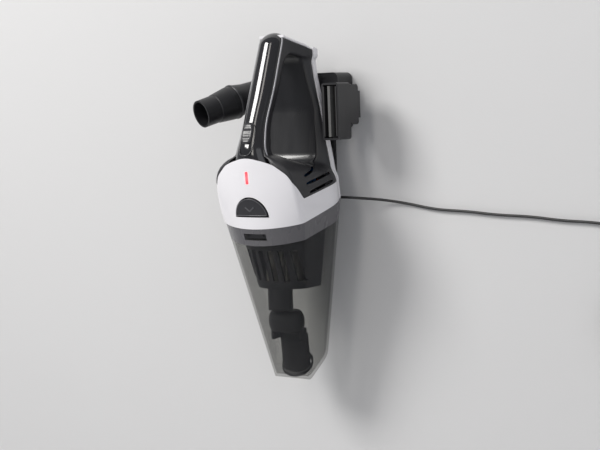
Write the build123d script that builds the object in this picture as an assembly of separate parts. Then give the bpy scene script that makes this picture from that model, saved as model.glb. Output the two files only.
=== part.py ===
"""Handheld vacuum docked on its wall charging bracket, with two tools and the charger lead.

Lengths are millimetres.  The model is drawn with height 0 at the nose of the vacuum and with
depth counted out from the wall, so a point of depth d lies at y = -d.  Every part is saved
lowered by SCREW_HEIGHT, which puts the origin at the middle of the two wall screws.
"""
from build123d import *
import os
from math import atan, cos, degrees, pi, radians, sin, tan

# ---------------------------------------------------------------- driving dimensions
SCREW_HEIGHT = 300.0        # middle of the wall screws above the nose
WALL = 2.2                  # moulded wall thickness
GAP = 0.3                   # clearance between moving mouldings

JOINT_FRONT_DEPTH = 132.0   # the joint between body and bin, at the front
JOINT_FRONT_HEIGHT = 171.0
JOINT_SLOPE = 0.296         # the joint plane rises towards the wall
BAND_HEIGHT = 20.0          # grey collar of the bin, below the joint
MOUTH_SLOPE = 1.19          # the inlet plane rises towards the wall
CHIN_DEPTH = 69.0           # lowest point of the nose
CHIN_SLOPE = 0.91           # the chin rises away from the wall
SPLIT_DEPTH = 48.0          # joint between rear shell and side panels
BACK_DEPTH = 36.0           # back of the vacuum

# sections: height, front depth, corner half-width and depth, widest half-width and depth,
# back half-width and depth
BIN_SECTIONS = (
    (0.0, 78.7, 24.4, 67.6, 29.6, 50.3, 19.0, 38.0),
    (205.0, 142.4, 56.2, 117.0, 60.8, 63.6, 47.0, 36.0),
)
DOME_SECTIONS = (
    (160.0, 130.0, 50.2, 106.5, 56.0, 62.0, 43.0, 36.0),
    (190.0, 134.6, 53.0, 118.0, 58.6, 63.0, 46.0, 36.0),
    (214.0, 137.6, 51.5, 125.0, 56.2, 62.0, 46.0, 36.0),
    (232.0, 139.2, 41.0, 130.0, 50.5, 60.0, 44.0, 36.0),
    (246.0, 140.0, 29.0, 133.0, 46.5, 58.0, 41.0, 36.0),
    (262.0, 137.0, 18.0, 130.0, 43.0, 56.0, 38.0, 36.0),
)
SPINE_HALF_WIDTHS = ((205.0, 55.0), (238.0, 49.0), (264.0, 43.0), (295.0, 38.0), (329.0, 31.0), (366.0, 26.0))
SPINE_FRONT = 64.0
TAIL_TOP = (54.0, 364.6)    # depth and height of the upper rear edge
HANDLE_TOP = (92.0, 378.0)
TOP_STRIP = 3.0             # depth of the white moulding that wraps over the sloping top

# handle sections: height, centre depth, half-width, half-depth
HANDLE_SECTIONS = (
    (234.0, 120.0, 26.0, 19.0),
    (252.0, 125.0, 19.0, 14.6),
    (271.0, 120.4, 15.4, 13.2),
    (320.0, 100.6, 15.2, 13.0),
    (366.0, 82.4, 14.6, 13.0),
)
OPENING = ((78.0, 356.0), (57.0, 350.0), (53.5, 296.0), (60.0, 231.0), (111.0, 247.0))
OPENING_RADII = (7.0, 9.0, 60.0, 14.0, 12.0)
LINER = 1.8

BEAM_HALF_WIDTH = 48.0      # cross beam of the wall bracket
PEG_BOSS_RIGHT = 72.0       # flat bosses beyond the beam's ends, which carry the tool pegs
PEG_BOSS_LEFT = -64.0
BEAM_LOW = 272.0
BEAM_HIGH = 334.0
BEAM_DEPTH = 30.0
PLATE_HALF_WIDTH = 24.0
PLATE_THICKNESS = 4.0
SCREW_SPACING = 44.0
SCREW_HOLE_RADIUS = 2.3

CRADLE_HEIGHT = 204.0       # top of the shelf that holds the charging plug
PLUG_DEPTH = 27.0
PLUG_RADIUS = 5.5
SOCKET_LOW = 206.0

CORD_DIAMETER = 3.0
COIL_TURNS = 10
COIL_MEAN_RADIUS = 17.0
COIL_HALF_WIDTH = 6.0       # of the bundle of turns

MOTOR_AXIS_DEPTH = 84.0
MOTOR_RADIUS = 17.5
SHAFT_RADIUS = 1.6
SHAFT_CLEARANCE = 0.05
CELL_RADIUS = 9.1
CELL_LENGTH = 62.0

BRUSH_CENTRE_X = 63.5
BRUSH_HALF_THICKNESS = 10.5
BRUSH_LOW, BRUSH_HIGH = 261.5, 322.0
BRUSH_BACK, BRUSH_STEP, BRUSH_FRONT = 31.0, 47.0, 71.0
CREVICE_BASE = (-53.5, 31.5, 317.0)   # x, depth and height of the rear of the tool
CREVICE_YAW = 21.0
CREVICE_DROOP = 16.0

PARTS = "parts"
saved = {}


# ---------------------------------------------------------------- helpers
def save(node, shape):
    """Lower a finished node to the screws' frame and write it."""
    saved[node] = shape
    lowered = Pos(0, 0, -SCREW_HEIGHT) * shape
    export_step(lowered, os.path.join(PARTS, node + ".step"))


def side_block(outline, half_width, radii=0.0, x=0.0):
    """Solid made by running an outline of (depth, height) points along X, both ways from x."""
    points = [(x, -depth, height) for depth, height in outline]
    if radii:
        wire = FilletPolyline(*points, radius=radii, close=True)
    else:
        wire = Polyline(*points, close=True)
    return extrude(make_face(wire), amount=half_width, dir=(1, 0, 0), both=True)


def front_block(outline, depth_from, depth_to, radii=0.0):
    """Solid made by running an outline of (x, height) points out from the wall."""
    points = [(x, -depth_from, height) for x, height in outline]
    if radii:
        wire = FilletPolyline(*points, radius=radii, close=True)
    else:
        wire = Polyline(*points, close=True)
    return extrude(make_face(wire), amount=depth_to - depth_from, dir=(0, -1, 0))


def block(x_range, depth_range, height_range):
    """Plain box between the given limits."""
    (x0, x1), (d0, d1), (h0, h1) = sorted(x_range), depth_range, height_range
    centre = Pos((x0 + x1) / 2, -(d0 + d1) / 2, (h0 + h1) / 2)
    return centre * Box(x1 - x0, d1 - d0, h1 - h0)


def upright(x, depth, low, high, radius):
    """Vertical round bar."""
    return Pos(x, -depth, (low + high) / 2) * Cylinder(radius, high - low)


def outward(x, height, near, far, radius):
    """Round bar square to the wall, from depth near to depth far."""
    return Pos(x, -(near + far) / 2, height) * Rot(90, 0, 0) * Cylinder(radius, far - near)


def crosswise(x0, x1, depth, height, radius):
    """Round bar along X."""
    return Pos((x0 + x1) / 2, -depth, height) * Rot(0, 90, 0) * Cylinder(radius, x1 - x0)


def body_section(height, front, corner_x, corner_d, wide_x, wide_d, back_x, back_d, inset=0.0):
    """Six-sided horizontal section: bowed front, two side facets, round rear corners, flat back."""
    front, corner_x, corner_d = front - inset, corner_x - 0.75 * inset, corner_d - 0.85 * inset
    wide_x, back_x, back_d = wide_x - inset, back_x - 0.6 * inset, back_d + inset
    bulge_x = wide_x - 0.18 * (wide_x - back_x)
    bulge_d = back_d + 0.42 * (wide_d - back_d)
    edges = [
        ThreePointArc((-corner_x, -corner_d, height), (0, -front, height), (corner_x, -corner_d, height)),
        Line((corner_x, -corner_d, height), (wide_x, -wide_d, height)),
        ThreePointArc((wide_x, -wide_d, height), (bulge_x, -bulge_d, height), (back_x, -back_d, height)),
        Line((back_x, -back_d, height), (-back_x, -back_d, height)),
        ThreePointArc((-back_x, -back_d, height), (-bulge_x, -bulge_d, height), (-wide_x, -wide_d, height)),
        Line((-wide_x, -wide_d, height), (-corner_x, -corner_d, height)),
    ]
    return make_face(Wire(edges))


def body_loft(sections, inset=0.0, ruled=False):
    """Loft through a table of body sections, each pulled in by the inset."""
    return loft([body_section(*row, inset=inset) for row in sections], ruled=ruled)


def joint_height(depth, below=0.0):
    """Height of the joint plane at a depth, or of a plane a given distance below it."""
    return JOINT_FRONT_HEIGHT + JOINT_SLOPE * (JOINT_FRONT_DEPTH - depth) - below


def joint_slab(top_below, bottom_below, half_width=90.0):
    """Sloping slab between two planes parallel to the joint."""
    near, far = 10.0, 170.0
    outline = (
        (near, joint_height(near, bottom_below)),
        (far, joint_height(far, bottom_below)),
        (far, joint_height(far, top_below)),
        (near, joint_height(near, top_below)),
    )
    return side_block(outline, half_width)


def above_mouth(rise=0.0):
    """Everything over the slanting inlet plane and the chin, both raised by a given distance."""
    near, far, top = -40.0, 200.0, 400.0
    outline = (
        (near, rise + MOUTH_SLOPE * (CHIN_DEPTH - near)),
        (CHIN_DEPTH, rise),
        (far, rise + CHIN_SLOPE * (far - CHIN_DEPTH)),
        (far, top),
        (near, top),
    )
    return side_block(outline, 90.0)


# ---------------------------------------------------------------- vacuum casing
def spine(inset=0.0):
    """Upright rear of the casing behind the finger opening, tapering to the tail."""
    right = [(width - inset, height) for height, width in SPINE_HALF_WIDTHS]
    left = [(-x, height) for x, height in reversed(right)]
    back, front = BACK_DEPTH + inset, SPINE_FRONT - inset
    slab = front_block(right + left, back, front)
    tail_cut = side_block(top_outline(inset), 90.0)
    slab = slab & tail_cut
    upright_edges = slab.edges().filter_by(lambda e: abs(e.tangent_at(0.5).Z) > 0.9)
    front_edges = upright_edges.filter_by(lambda e: abs(e.center().Y + front) < 0.5)
    return chamfer(front_edges, 12.0 - 0.2 * inset)


def top_outline(inset=0.0):
    """Side view of everything under the sloping top, as (depth, height) points."""
    slope = (HANDLE_TOP[1] - TAIL_TOP[1]) / (HANDLE_TOP[0] - TAIL_TOP[0])
    drop = inset / cos(atan(slope))
    far, near = 150.0, 20.0
    return (
        (near, 100.0),
        (far, 100.0),
        (far, HANDLE_TOP[1] + slope * (far - HANDLE_TOP[0]) - drop),
        (TAIL_TOP[0] - 4.0, TAIL_TOP[1] - slope * 4.0 - drop),
        (BACK_DEPTH + inset, TAIL_TOP[1] - 10.0 - drop),
        (near, TAIL_TOP[1] - 20.0 - drop),
    )


def bridge(inset=0.0):
    """Top of the casing, joining the handle to the tail, wider towards the tail."""
    plan = (
        (14.4 - inset, -84.0 + inset),
        (26.5 - inset, -52.0),
        (26.5 - inset, -BACK_DEPTH - inset),
        (-26.5 + inset, -BACK_DEPTH - inset),
        (-26.5 + inset, -52.0),
        (-14.4 + inset, -84.0 + inset),
    )
    floor = 342.0 + inset
    flat = make_face(Polyline(*[(x, y, floor) for x, y in plan], close=True))
    column = extrude(flat, amount=60.0, dir=(0, 0, 1))
    return column & side_block(top_outline(inset), 90.0)


def handle(inset=0.0):
    """Leaning oval grip between the dome and the bridge."""
    faces = []
    for height, centre, half_width, half_depth in HANDLE_SECTIONS:
        oval = Ellipse(half_width - inset, half_depth - inset)
        faces.append(Plane(origin=(0, -centre, height)) * oval)
    grip = loft(faces)
    height, centre, half_width, half_depth = HANDLE_SECTIONS[-1]
    cap_top = HANDLE_TOP[1] - inset
    cap = loft([
        Plane(origin=(0, -centre, height)) * Ellipse(half_width - inset, half_depth - inset),
        Plane(origin=(0, -centre + 3.0, cap_top - 3.0)) * Ellipse(half_width - 2.2 - inset, half_depth - 2.2 - inset),
        Plane(origin=(0, -centre + 4.5, cap_top)) * Ellipse(half_width - 8.0 - inset, half_depth - 8.0 - inset),
    ])
    return grip + cap


def opening_cutter(grow=0.0):
    """Finger opening between handle and spine, run through the casing along X."""
    points = [(0, -depth, height) for depth, height in OPENING]
    face = make_face(FilletPolyline(*points, radius=OPENING_RADII, close=True))
    if grow:
        face = offset(face, amount=grow)
    return extrude(face, amount=90.0, dir=(1, 0, 0), both=True)


def dome_top(inset=0.0):
    """Region under the shoulder, which slopes down from the handle to the spine."""
    outline = (
        (20.0, 100.0),
        (170.0, 100.0),
        (170.0, 262.0 - inset),
        (112.0, 256.0 - inset),
        (20.0, 236.0 - inset),
    )
    return side_block(outline, 90.0)


def casing(inset=0.0):
    """Whole casing above the joint, as a solid pulled in by the inset."""
    cutter = opening_cutter(inset)
    dome = (body_loft(DOME_SECTIONS, inset) & dome_top(inset)) - cutter
    rear = (spine(inset) - cutter) + (bridge(inset) - cutter)
    return (rear + dome) + handle(inset)


def white_front_region():
    """Side view of the white dome: under the arc that starts at the dome's top."""
    return side_block(
        (
            (SPLIT_DEPTH, 100.0),
            (170.0, 100.0),
            (170.0, 254.0),
            (140.0, 246.0),
            (133.0, 237.0),
            (127.0, 218.0),
            (110.0, 202.0),
            (57.0, 214.5),
            (SPLIT_DEPTH, 216.5),
        ),
        90.0,
    )


def insert_region():
    """Everything in front of the handle's rim line, which leans with the handle."""
    return side_block(
        (
            (85.1, 366.0),
            (81.0, 380.0),
            (81.0, 400.0),
            (180.0, 400.0),
            (180.0, 236.0),
            (132.0, 236.0),
            (130.0, 252.0),
            (123.1, 271.0),
            (103.3, 320.0),
        ),
        90.0,
    )


def top_strip():
    """Layer just under the sloping top, behind the handle's cap."""
    slope = (HANDLE_TOP[1] - TAIL_TOP[1]) / (HANDLE_TOP[0] - TAIL_TOP[0])
    near, far = SPLIT_DEPTH - 1.0, 81.0
    floor_near = TAIL_TOP[1] + slope * (near - TAIL_TOP[0]) - TOP_STRIP
    floor_far = TAIL_TOP[1] + slope * (far - TAIL_TOP[0]) - TOP_STRIP
    return side_block(((near, floor_near), (far, floor_far), (far, 400.0), (near, 400.0)), 90.0)


def make_casing():
    """Split the hollow casing into its mouldings."""
    hollow = casing() - casing(WALL)
    hollow -= joint_slab(0.0, 250.0)
    rear_cut = block((-90, 90), (0, SPLIT_DEPTH), (100, 400)) + top_strip()
    rear = hollow & rear_cut
    front = hollow - rear_cut
    white = front & white_front_region()
    upper = front - white_front_region()
    insert = upper & insert_region()
    upper -= insert_region()
    liner = upper & opening_cutter(LINER)
    panels = upper - opening_cutter(LINER)
    right = panels & block((0, 90), (0, 200), (100, 400))
    left = panels & block((-90, 0), (0, 200), (100, 400))
    return rear, white, insert, liner, left, right


# ---------------------------------------------------------------- latch, switch and lamp
BUTTON_BASE, BUTTON_APEX, BUTTON_HALF_WIDTH = 184.7, 204.8, 20.9
BUTTON_GAP = 0.6
LATCH_PIVOT = (128.5, 209.5)     # depth and height of the button's hinge pin
SLOT_LOW, SLOT_HIGH, SLOT_HALF_WIDTH = 159.0, 166.0, 14.3
SWITCH_HEIGHT = 271.6
SWITCH_TRAVEL = 8.0
HANDLE_LEAN = 22.0               # the handle leans back from the vertical, in degrees
LAMP_LOW, LAMP_HIGH = 219.5, 232.0


def half_moon(grow, depth_from, depth_to):
    """Half-moon outline with a flat base, run out from the wall."""
    half, low, high = BUTTON_HALF_WIDTH + grow, BUTTON_BASE - grow, BUTTON_APEX + grow
    arc = ThreePointArc((half, -depth_from, low), (0, -depth_from, high), (-half, -depth_from, low))
    base = Line((-half, -depth_from, low), (half, -depth_from, low))
    return extrude(make_face(Wire([arc, base])), amount=depth_to - depth_from, dir=(0, -1, 0))


def dome_skin(near, far, outset=0.0):
    """Layer that follows the dome's outside, from one inset to a deeper one."""
    outside = body_loft(DOME_SECTIONS, near)
    return outside - body_loft(DOME_SECTIONS, far)


def make_button():
    """Half-moon release button with the arm and hook that run down to the bin's slot."""
    pad = half_moon(-BUTTON_GAP, 108.0, 150.0) & dome_skin(-0.8, WALL)
    depth, height = LATCH_PIVOT
    lugs = crosswise(-14.0, -9.0, depth, height, 3.2) + crosswise(9.0, 14.0, depth, height, 3.2)
    web = ((127.0, 198.0), (132.4, 198.0), (130.2, 208.0), (127.6, 208.0))
    webs = side_block(web, 2.0, x=11.5) + side_block(web, 2.0, x=-11.5)
    yoke = block((-13.5, 13.5), (128.4, 133.4), (190.0, 199.5))
    arm = side_block(
        (
            (121.4, 161.0),
            (124.4, 161.0),
            (126.2, 171.5),
            (130.0, 184.0),
            (130.6, 186.0),
            (133.8, 188.0),
            (133.8, 199.0),
            (128.4, 199.0),
            (126.6, 184.0),
        ),
        8.0,
    )
    hook = block((-12.0, 12.0), (121.4, 124.4), (161.0, 164.6))
    button = pad + arm + yoke + lugs + webs + hook
    button -= crosswise(-20.0, 20.0, depth, height, 1.55)
    return button


def make_latch_pin():
    """Hinge pin of the release button, with its two bearing ears."""
    depth, height = LATCH_PIVOT
    pin = crosswise(-19.5, 19.5, depth, height, 1.5)
    return pin


def make_latch_ears():
    """Ears moulded behind the dome that hold the pin's ends."""
    depth, height = LATCH_PIVOT
    ears = []
    for side in (-1, 1):
        ear = block((side * 15.0, side * 19.0), (121.0, 134.0), (205.0, 214.0)) & body_loft(DOME_SECTIONS, WALL)
        ears.append(ear - crosswise(-25.0, 25.0, depth, height, 1.5))
    return ears[0] + ears[1]


def make_latch_spring():
    """Two-turn torsion spring on the pin, between the button's lugs."""
    depth, height = LATCH_PIVOT
    rings = [Pos(x, -depth, height) * Rot(0, 90, 0) * Torus(2.4, 0.5) for x in (-2.2, -1.1, 0.0, 1.1, 2.2)]
    return rings[0] + rings[1:]


def handle_frame(height):
    """Frame on the handle's front at a height: Z along the handle, Y into it."""
    front = 133.4 - 0.404 * (height - SWITCH_HEIGHT)
    return Pos(0, -front, height) * Rot(-HANDLE_LEAN, 0, 0)


def make_switch():
    """Power slider: a ribbed thumb pad with a stem into the handle."""
    frame = handle_frame(SWITCH_HEIGHT)
    pad = frame * Pos(0, 0.6, 0) * Box(13.0, 3.4, 23.0)
    pad = fillet(pad.edges().filter_by(Axis.X), 0.8)
    ribs = [frame * Pos(0, -1.2, z) * Box(11.0, 1.2, 1.4) for z in (-7.5, -4.5, -1.5)]
    stem = frame * Pos(0, 4.6, 0) * Box(6.0, 6.0, 9.0)
    return pad + ribs + stem


def switch_recess():
    """Pocket in the handle insert that the slider runs in, with the slot for its stem."""
    frame = handle_frame(SWITCH_HEIGHT)
    pocket = frame * Pos(0, 0.0, -SWITCH_TRAVEL / 2) * Box(13.8, 5.2, 24.4 + SWITCH_TRAVEL)
    slot = frame * Pos(0, 4.5, -SWITCH_TRAVEL / 2) * Box(7.0, 9.0, 10.0 + SWITCH_TRAVEL)
    return pocket + slot


def make_switch_module():
    """Slide switch behind the recess, gripped by the stem, on its own carrier."""
    frame = handle_frame(SWITCH_HEIGHT)
    tray = frame * Pos(0, 5.6, -SWITCH_TRAVEL / 2) * Box(13.6, 1.8, 36.0)
    tray -= frame * Pos(0, 5.2, -SWITCH_TRAVEL / 2) * Box(7.2, 3.0, 10.4 + SWITCH_TRAVEL)
    case = frame * Pos(0, 11.4, -SWITCH_TRAVEL / 2) * Box(12.0, 6.0, 22.0)
    sides = [frame * Pos(x, 7.25, -SWITCH_TRAVEL / 2) * Box(1.6, 2.4, 22.0) for x in (-5.2, 5.2)]
    return tray + case + sides


def lamp_outline(grow, depth_from, depth_to):
    """Upright slit of the battery lamp."""
    return block((-1.5 - grow, 1.5 + grow), (depth_from, depth_to), (LAMP_LOW - grow, LAMP_HIGH + grow))


# ---------------------------------------------------------------- motor, fan and cells
MOTOR_FRAME = Pos(0, -MOTOR_AXIS_DEPTH, joint_height(MOTOR_AXIS_DEPTH)) * Rot(degrees(atan(JOINT_SLOPE)), 0, 0)


def motor_bar(low, high, radius):
    """Round bar on the motor's axis, between two heights over the joint."""
    return MOTOR_FRAME * Pos(0, 0, (low + high) / 2) * Cylinder(radius, high - low)


def make_motor():
    """Motor can, its mounting plate, the fan housing, the shaft and the impeller."""
    bore = SHAFT_RADIUS + SHAFT_CLEARANCE
    can = motor_bar(18.0, 43.0, MOTOR_RADIUS) - motor_bar(19.5, 41.5, MOTOR_RADIUS - 1.5)
    can -= motor_bar(17.0, 44.0, bore)
    plate = (motor_bar(16.0, 18.0, 36.0) - motor_bar(15.0, 19.0, 6.0)) & body_loft(DOME_SECTIONS, WALL)
    for k in range(6):
        window = MOTOR_FRAME * Rot(0, 0, 60 * k + 30) * Pos(29.0, 0, 17.0) * Cylinder(5.0, 4.0)
        plate -= window
    plate -= block((-90, 90), (0, 58.5), (150, 260))
    housing = motor_bar(2.0, 15.8, 33.0) - motor_bar(3.6, 16.0, 31.4) - motor_bar(1.0, 5.0, 13.0)
    shaft = motor_bar(4.2, 42.6, SHAFT_RADIUS) + motor_bar(21.0, 40.0, 11.0)
    impeller = motor_bar(6.0, 7.4, 29.5) + motor_bar(6.0, 13.0, 6.0)
    for k in range(9):
        blade = Rot(0, 0, 40 * k) * Pos(17.4, 3.0, 9.9) * Rot(0, 0, 24) * Box(23.0, 1.2, 5.0)
        impeller += MOTOR_FRAME * blade
    impeller -= motor_bar(5.0, 14.0, SHAFT_RADIUS)
    return can, plate, housing, shaft, impeller


CELL_DEPTH = 47.4
CELL_HEIGHTS = (216.6, 236.0)


def make_cells():
    """Two lithium cells side by side across the rear of the casing, and their end holders."""
    cells = [crosswise(-CELL_LENGTH / 2, CELL_LENGTH / 2, CELL_DEPTH, z, CELL_RADIUS) for z in CELL_HEIGHTS]
    holders = [block((side * 31.2, side * 33.0), (39.0, 55.0), (209.0, 243.0)) for side in (-1, 1)]
    return cells[0] + cells[1], holders[0] + holders[1]


# ---------------------------------------------------------------- dust bin
DUCT_DEPTH = 58.0           # middle of the inlet at the nose
DUCT_TOP = 50.0
DUCT_TOP_DEPTH = 63.0       # the duct leans out as it rises
DUCT_WALL = 1.6
MOUTH_HALF = (18.0, 8.0)
LIP_WIDTH = 2.0
HOOD_DEPTH = 76.0
HOOD_SECTIONS = ((54.0, 18.5, 12.5), (58.0, 20.5, 14.0), (72.0, 20.5, 14.0), (77.0, 17.0, 11.0))
FILTER_LOW = 103.0
STUB_DEPTH = 86.0
STUB_LOW = 79.5
STUB_RADIUS = 13.5
STUB_WALL = 2.2
PLEAT_COUNT = 28
PLEAT_DEPTH = 74.5


def oval_bar(depth, low, high, half_x, half_d):
    """Upright oval bar."""
    face = Plane(origin=(0, -depth, low)) * Ellipse(half_x, half_d)
    return extrude(face, amount=high - low)


def leaning_oval(low, wall, beyond=0.0):
    """Leaning oval bar of the duct, from a height to its top or beyond, thinner by a wall."""
    lean = (DUCT_TOP_DEPTH - DUCT_DEPTH) / DUCT_TOP
    half_x, half_d = MOUTH_HALF[0] - wall, MOUTH_HALF[1] - wall
    return loft([
        Plane(origin=(0, -DUCT_DEPTH - lean * height, height)) * Ellipse(half_x, half_d)
        for height in (low, DUCT_TOP + beyond)
    ])


def make_bin():
    """Clear bin, its grey collar with the latch slot, and the lip round the inlet."""
    outer = body_loft(BIN_SECTIONS, ruled=True) & above_mouth()
    inner = body_loft(BIN_SECTIONS, WALL, ruled=True) & above_mouth(1.5 * WALL)
    shell = (outer - inner) & joint_slab(GAP, 400.0)
    band = shell & joint_slab(-10.0, BAND_HEIGHT)
    bin_body = shell - joint_slab(-10.0, BAND_HEIGHT)
    latch_slot = block((-SLOT_HALF_WIDTH, SLOT_HALF_WIDTH), (120.0, 140.0), (SLOT_LOW, SLOT_HIGH))
    band -= latch_slot
    lip_outer = oval_bar(DUCT_DEPTH, -5.0, 60.0, MOUTH_HALF[0] + LIP_WIDTH, MOUTH_HALF[1] + LIP_WIDTH)
    lip_inner = oval_bar(DUCT_DEPTH, -5.0, 60.0, *MOUTH_HALF) + leaning_oval(-5.0, 0.0)
    floor_zone = block((-30, 30), (30, 90), (-5, 36))
    lip = (bin_body & lip_outer & floor_zone) - lip_inner
    bin_body -= lip_outer & floor_zone
    return bin_body, band, lip


def make_duct():
    """Inlet duct that rises from the lip, and the mushroom deflector over it."""
    duct = (leaning_oval(-5.0, 0.0) & above_mouth(0.6)) - leaning_oval(-6.0, DUCT_WALL, 1.0)
    shells = [
        loft([Plane(origin=(0, -HOOD_DEPTH, z)) * Ellipse(x - wall, d - wall) for z, x, d in HOOD_SECTIONS])
        for wall in (0.0, DUCT_WALL)
    ]
    hood = shells[0] - Pos(0, 0, -DUCT_WALL) * shells[1]
    struts = [block((side * 15.4, side * 18.4), (65.0, 80.0), (DUCT_TOP - 6.0, 57.0)) for side in (-1, 1)]
    struts = [strut - leaning_oval(-6.0, 0.0, 12.0) for strut in struts]
    return duct, hood + struts


def make_filter():
    """Filter frame, its edge seal, the cage, the pleated element and the float stub."""
    inside = body_loft(BIN_SECTIONS, WALL + 0.4, ruled=True)
    frame = (inside & joint_slab(1.0, 4.0)) - motor_bar(-10.0, 5.0, 13.0)
    frame -= block((-15.5, 15.5), (116.5, 140.0), (150.0, 180.0))
    seal_core = body_loft(BIN_SECTIONS, WALL + 3.0, ruled=True)
    seal = ((inside - seal_core) & joint_slab(4.0, 7.0)) - block((-15.5, 15.5), (116.5, 140.0), (150.0, 180.0))
    cage_zone = joint_slab(4.0, 250.0) & block((-90, 90), (0, 200), (FILTER_LOW, 200))
    cage = (body_loft(BIN_SECTIONS, 12.0, ruled=True) & cage_zone)
    core_zone = joint_slab(3.0, 250.0) & block((-90, 90), (0, 200), (FILTER_LOW + 1.8, 200))
    cage -= body_loft(BIN_SECTIONS, 13.8, ruled=True) & core_zone
    for x in (-30.0, -18.0, -6.0, 6.0, 18.0, 30.0):
        cage -= block((x - 3.2, x + 3.2), (20.0, 140.0), (112.0, 146.0))
    points = []
    for k in range(2 * PLEAT_COUNT):
        radius = 21.0 if k % 2 == 0 else 16.5
        turn = pi * k / PLEAT_COUNT
        points.append((radius * cos(turn), -PLEAT_DEPTH + radius * sin(turn), FILTER_LOW + 3.0))
    pleats = extrude(make_face(Polyline(*points, close=True)), amount=54.0, dir=(0, 0, 1))
    pleats -= upright(0, PLEAT_DEPTH, 100.0, 170.0, 13.5)
    bore = upright(0, STUB_DEPTH, STUB_LOW - 1.0, FILTER_LOW + 1.9, STUB_RADIUS - STUB_WALL)
    stub = upright(0, STUB_DEPTH, STUB_LOW, FILTER_LOW, STUB_RADIUS) - bore
    cage -= bore
    return frame, seal, cage, pleats, stub


# ---------------------------------------------------------------- wall bracket and charging
TONGUE_LOW, TONGUE_HIGH = 306.0, 316.0


def make_bracket():
    """Wall plate, hollow cross beam, hanging tongue and the two access caps."""
    plate = front_block(
        ((-PLATE_HALF_WIDTH, 188.0), (PLATE_HALF_WIDTH, 188.0), (PLATE_HALF_WIDTH, 331.2), (-PLATE_HALF_WIDTH, 331.2)),
        0.0, PLATE_THICKNESS, radii=6.0)
    beam = front_block(
        ((-BEAM_HALF_WIDTH, BEAM_LOW), (BEAM_HALF_WIDTH, BEAM_LOW), (BEAM_HALF_WIDTH, BEAM_HIGH), (-BEAM_HALF_WIDTH, BEAM_HIGH)),
        0.0, BEAM_DEPTH, radii=7.0)
    inner_x, inner_low, inner_high = BEAM_HALF_WIDTH - 2.6, BEAM_LOW + 2.6, BEAM_HIGH - 2.6
    beam -= front_block(
        ((-inner_x, inner_low), (inner_x, inner_low), (inner_x, inner_high), (-inner_x, inner_high)),
        -1.0, BEAM_DEPTH - 2.6, radii=5.0)
    beam -= plate
    ribs = [block((x - 1.2, x + 1.2), (0.0, BEAM_DEPTH - 2.6), (inner_low, inner_high)) for x in (-30.0, 30.0)]
    beam += ribs
    beam += block((46.0, PEG_BOSS_RIGHT), (24.0, BEAM_DEPTH), (284.0, 313.0))
    beam += block((PEG_BOSS_LEFT, -46.0), (22.0, BEAM_DEPTH), (298.0, 332.0))
    caps = []
    for offset_z in (-SCREW_SPACING / 2, SCREW_SPACING / 2):
        height = SCREW_HEIGHT + offset_z
        plate -= outward(0, height, -1.0, 10.0, SCREW_HOLE_RADIUS)
        beam -= outward(0, height, 20.0, 40.0, 4.8)
        caps.append(outward(0, height, BEAM_DEPTH - 2.6, BEAM_DEPTH, 4.8) + outward(0, height, BEAM_DEPTH, BEAM_DEPTH + 0.8, 5.6))
    tongue = block((-6.0, 6.0), (BEAM_DEPTH, 38.6), (TONGUE_LOW, TONGUE_HIGH))
    tongue += block((-11.0, 11.0), (38.6, 42.0), (TONGUE_LOW - 2.0, TONGUE_HIGH + 2.0))
    tongue += block((-9.0, 9.0), (BEAM_DEPTH, 32.5), (TONGUE_LOW - 2.5, TONGUE_HIGH + 1.0)) - (caps[0] + caps[1])
    return plate, beam, tongue, caps[0] + caps[1]


def keyhole():
    """Slot in the back of the casing that drops over the tongue."""
    narrow = block((-6.6, 6.6), (20.0, 40.0), (294.0, TONGUE_HIGH + GAP))
    wide = block((-11.8, 11.8), (20.0, 40.0), (279.0, 294.5))
    return narrow + wide


def make_charging():
    """Cradle, upright charging plug and its strain relief, and the socket on the casing's back."""
    cradle = block((-14.0, 14.0), (PLATE_THICKNESS, 34.0), (188.0, CRADLE_HEIGHT))
    cradle = fillet(cradle.edges().filter_by(Axis.Z).filter_by(lambda e: e.center().Y < -30), 5.0)
    cradle -= upright(0, PLUG_DEPTH - 4.0, 191.0, 210.0, PLUG_RADIUS)
    cradle -= crosswise(0.0, 20.0, PLUG_DEPTH - 4.0, 197.0, 3.0)
    plug = upright(0, PLUG_DEPTH - 4.0, 191.0, CRADLE_HEIGHT + 0.8, PLUG_RADIUS)
    plug += upright(0, PLUG_DEPTH - 4.0, CRADLE_HEIGHT, 216.0, 2.75)
    relief = Pos(10.0, -PLUG_DEPTH + 4.0, 197.0) * Rot(0, 90, 0) * Cone(3.0, 2.1, 24.0, align=(Align.CENTER, Align.CENTER, Align.MIN))
    relief -= plug
    socket = block((-9.0, 9.0), (14.0, BACK_DEPTH), (SOCKET_LOW, 226.0))
    socket = fillet(socket.edges().filter_by(Axis.Z).filter_by(lambda e: e.center().Y > -20), 4.0)
    socket -= upright(0, PLUG_DEPTH - 4.0, 200.0, 219.0, 2.85)
    return cradle, plug, relief, socket


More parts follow.
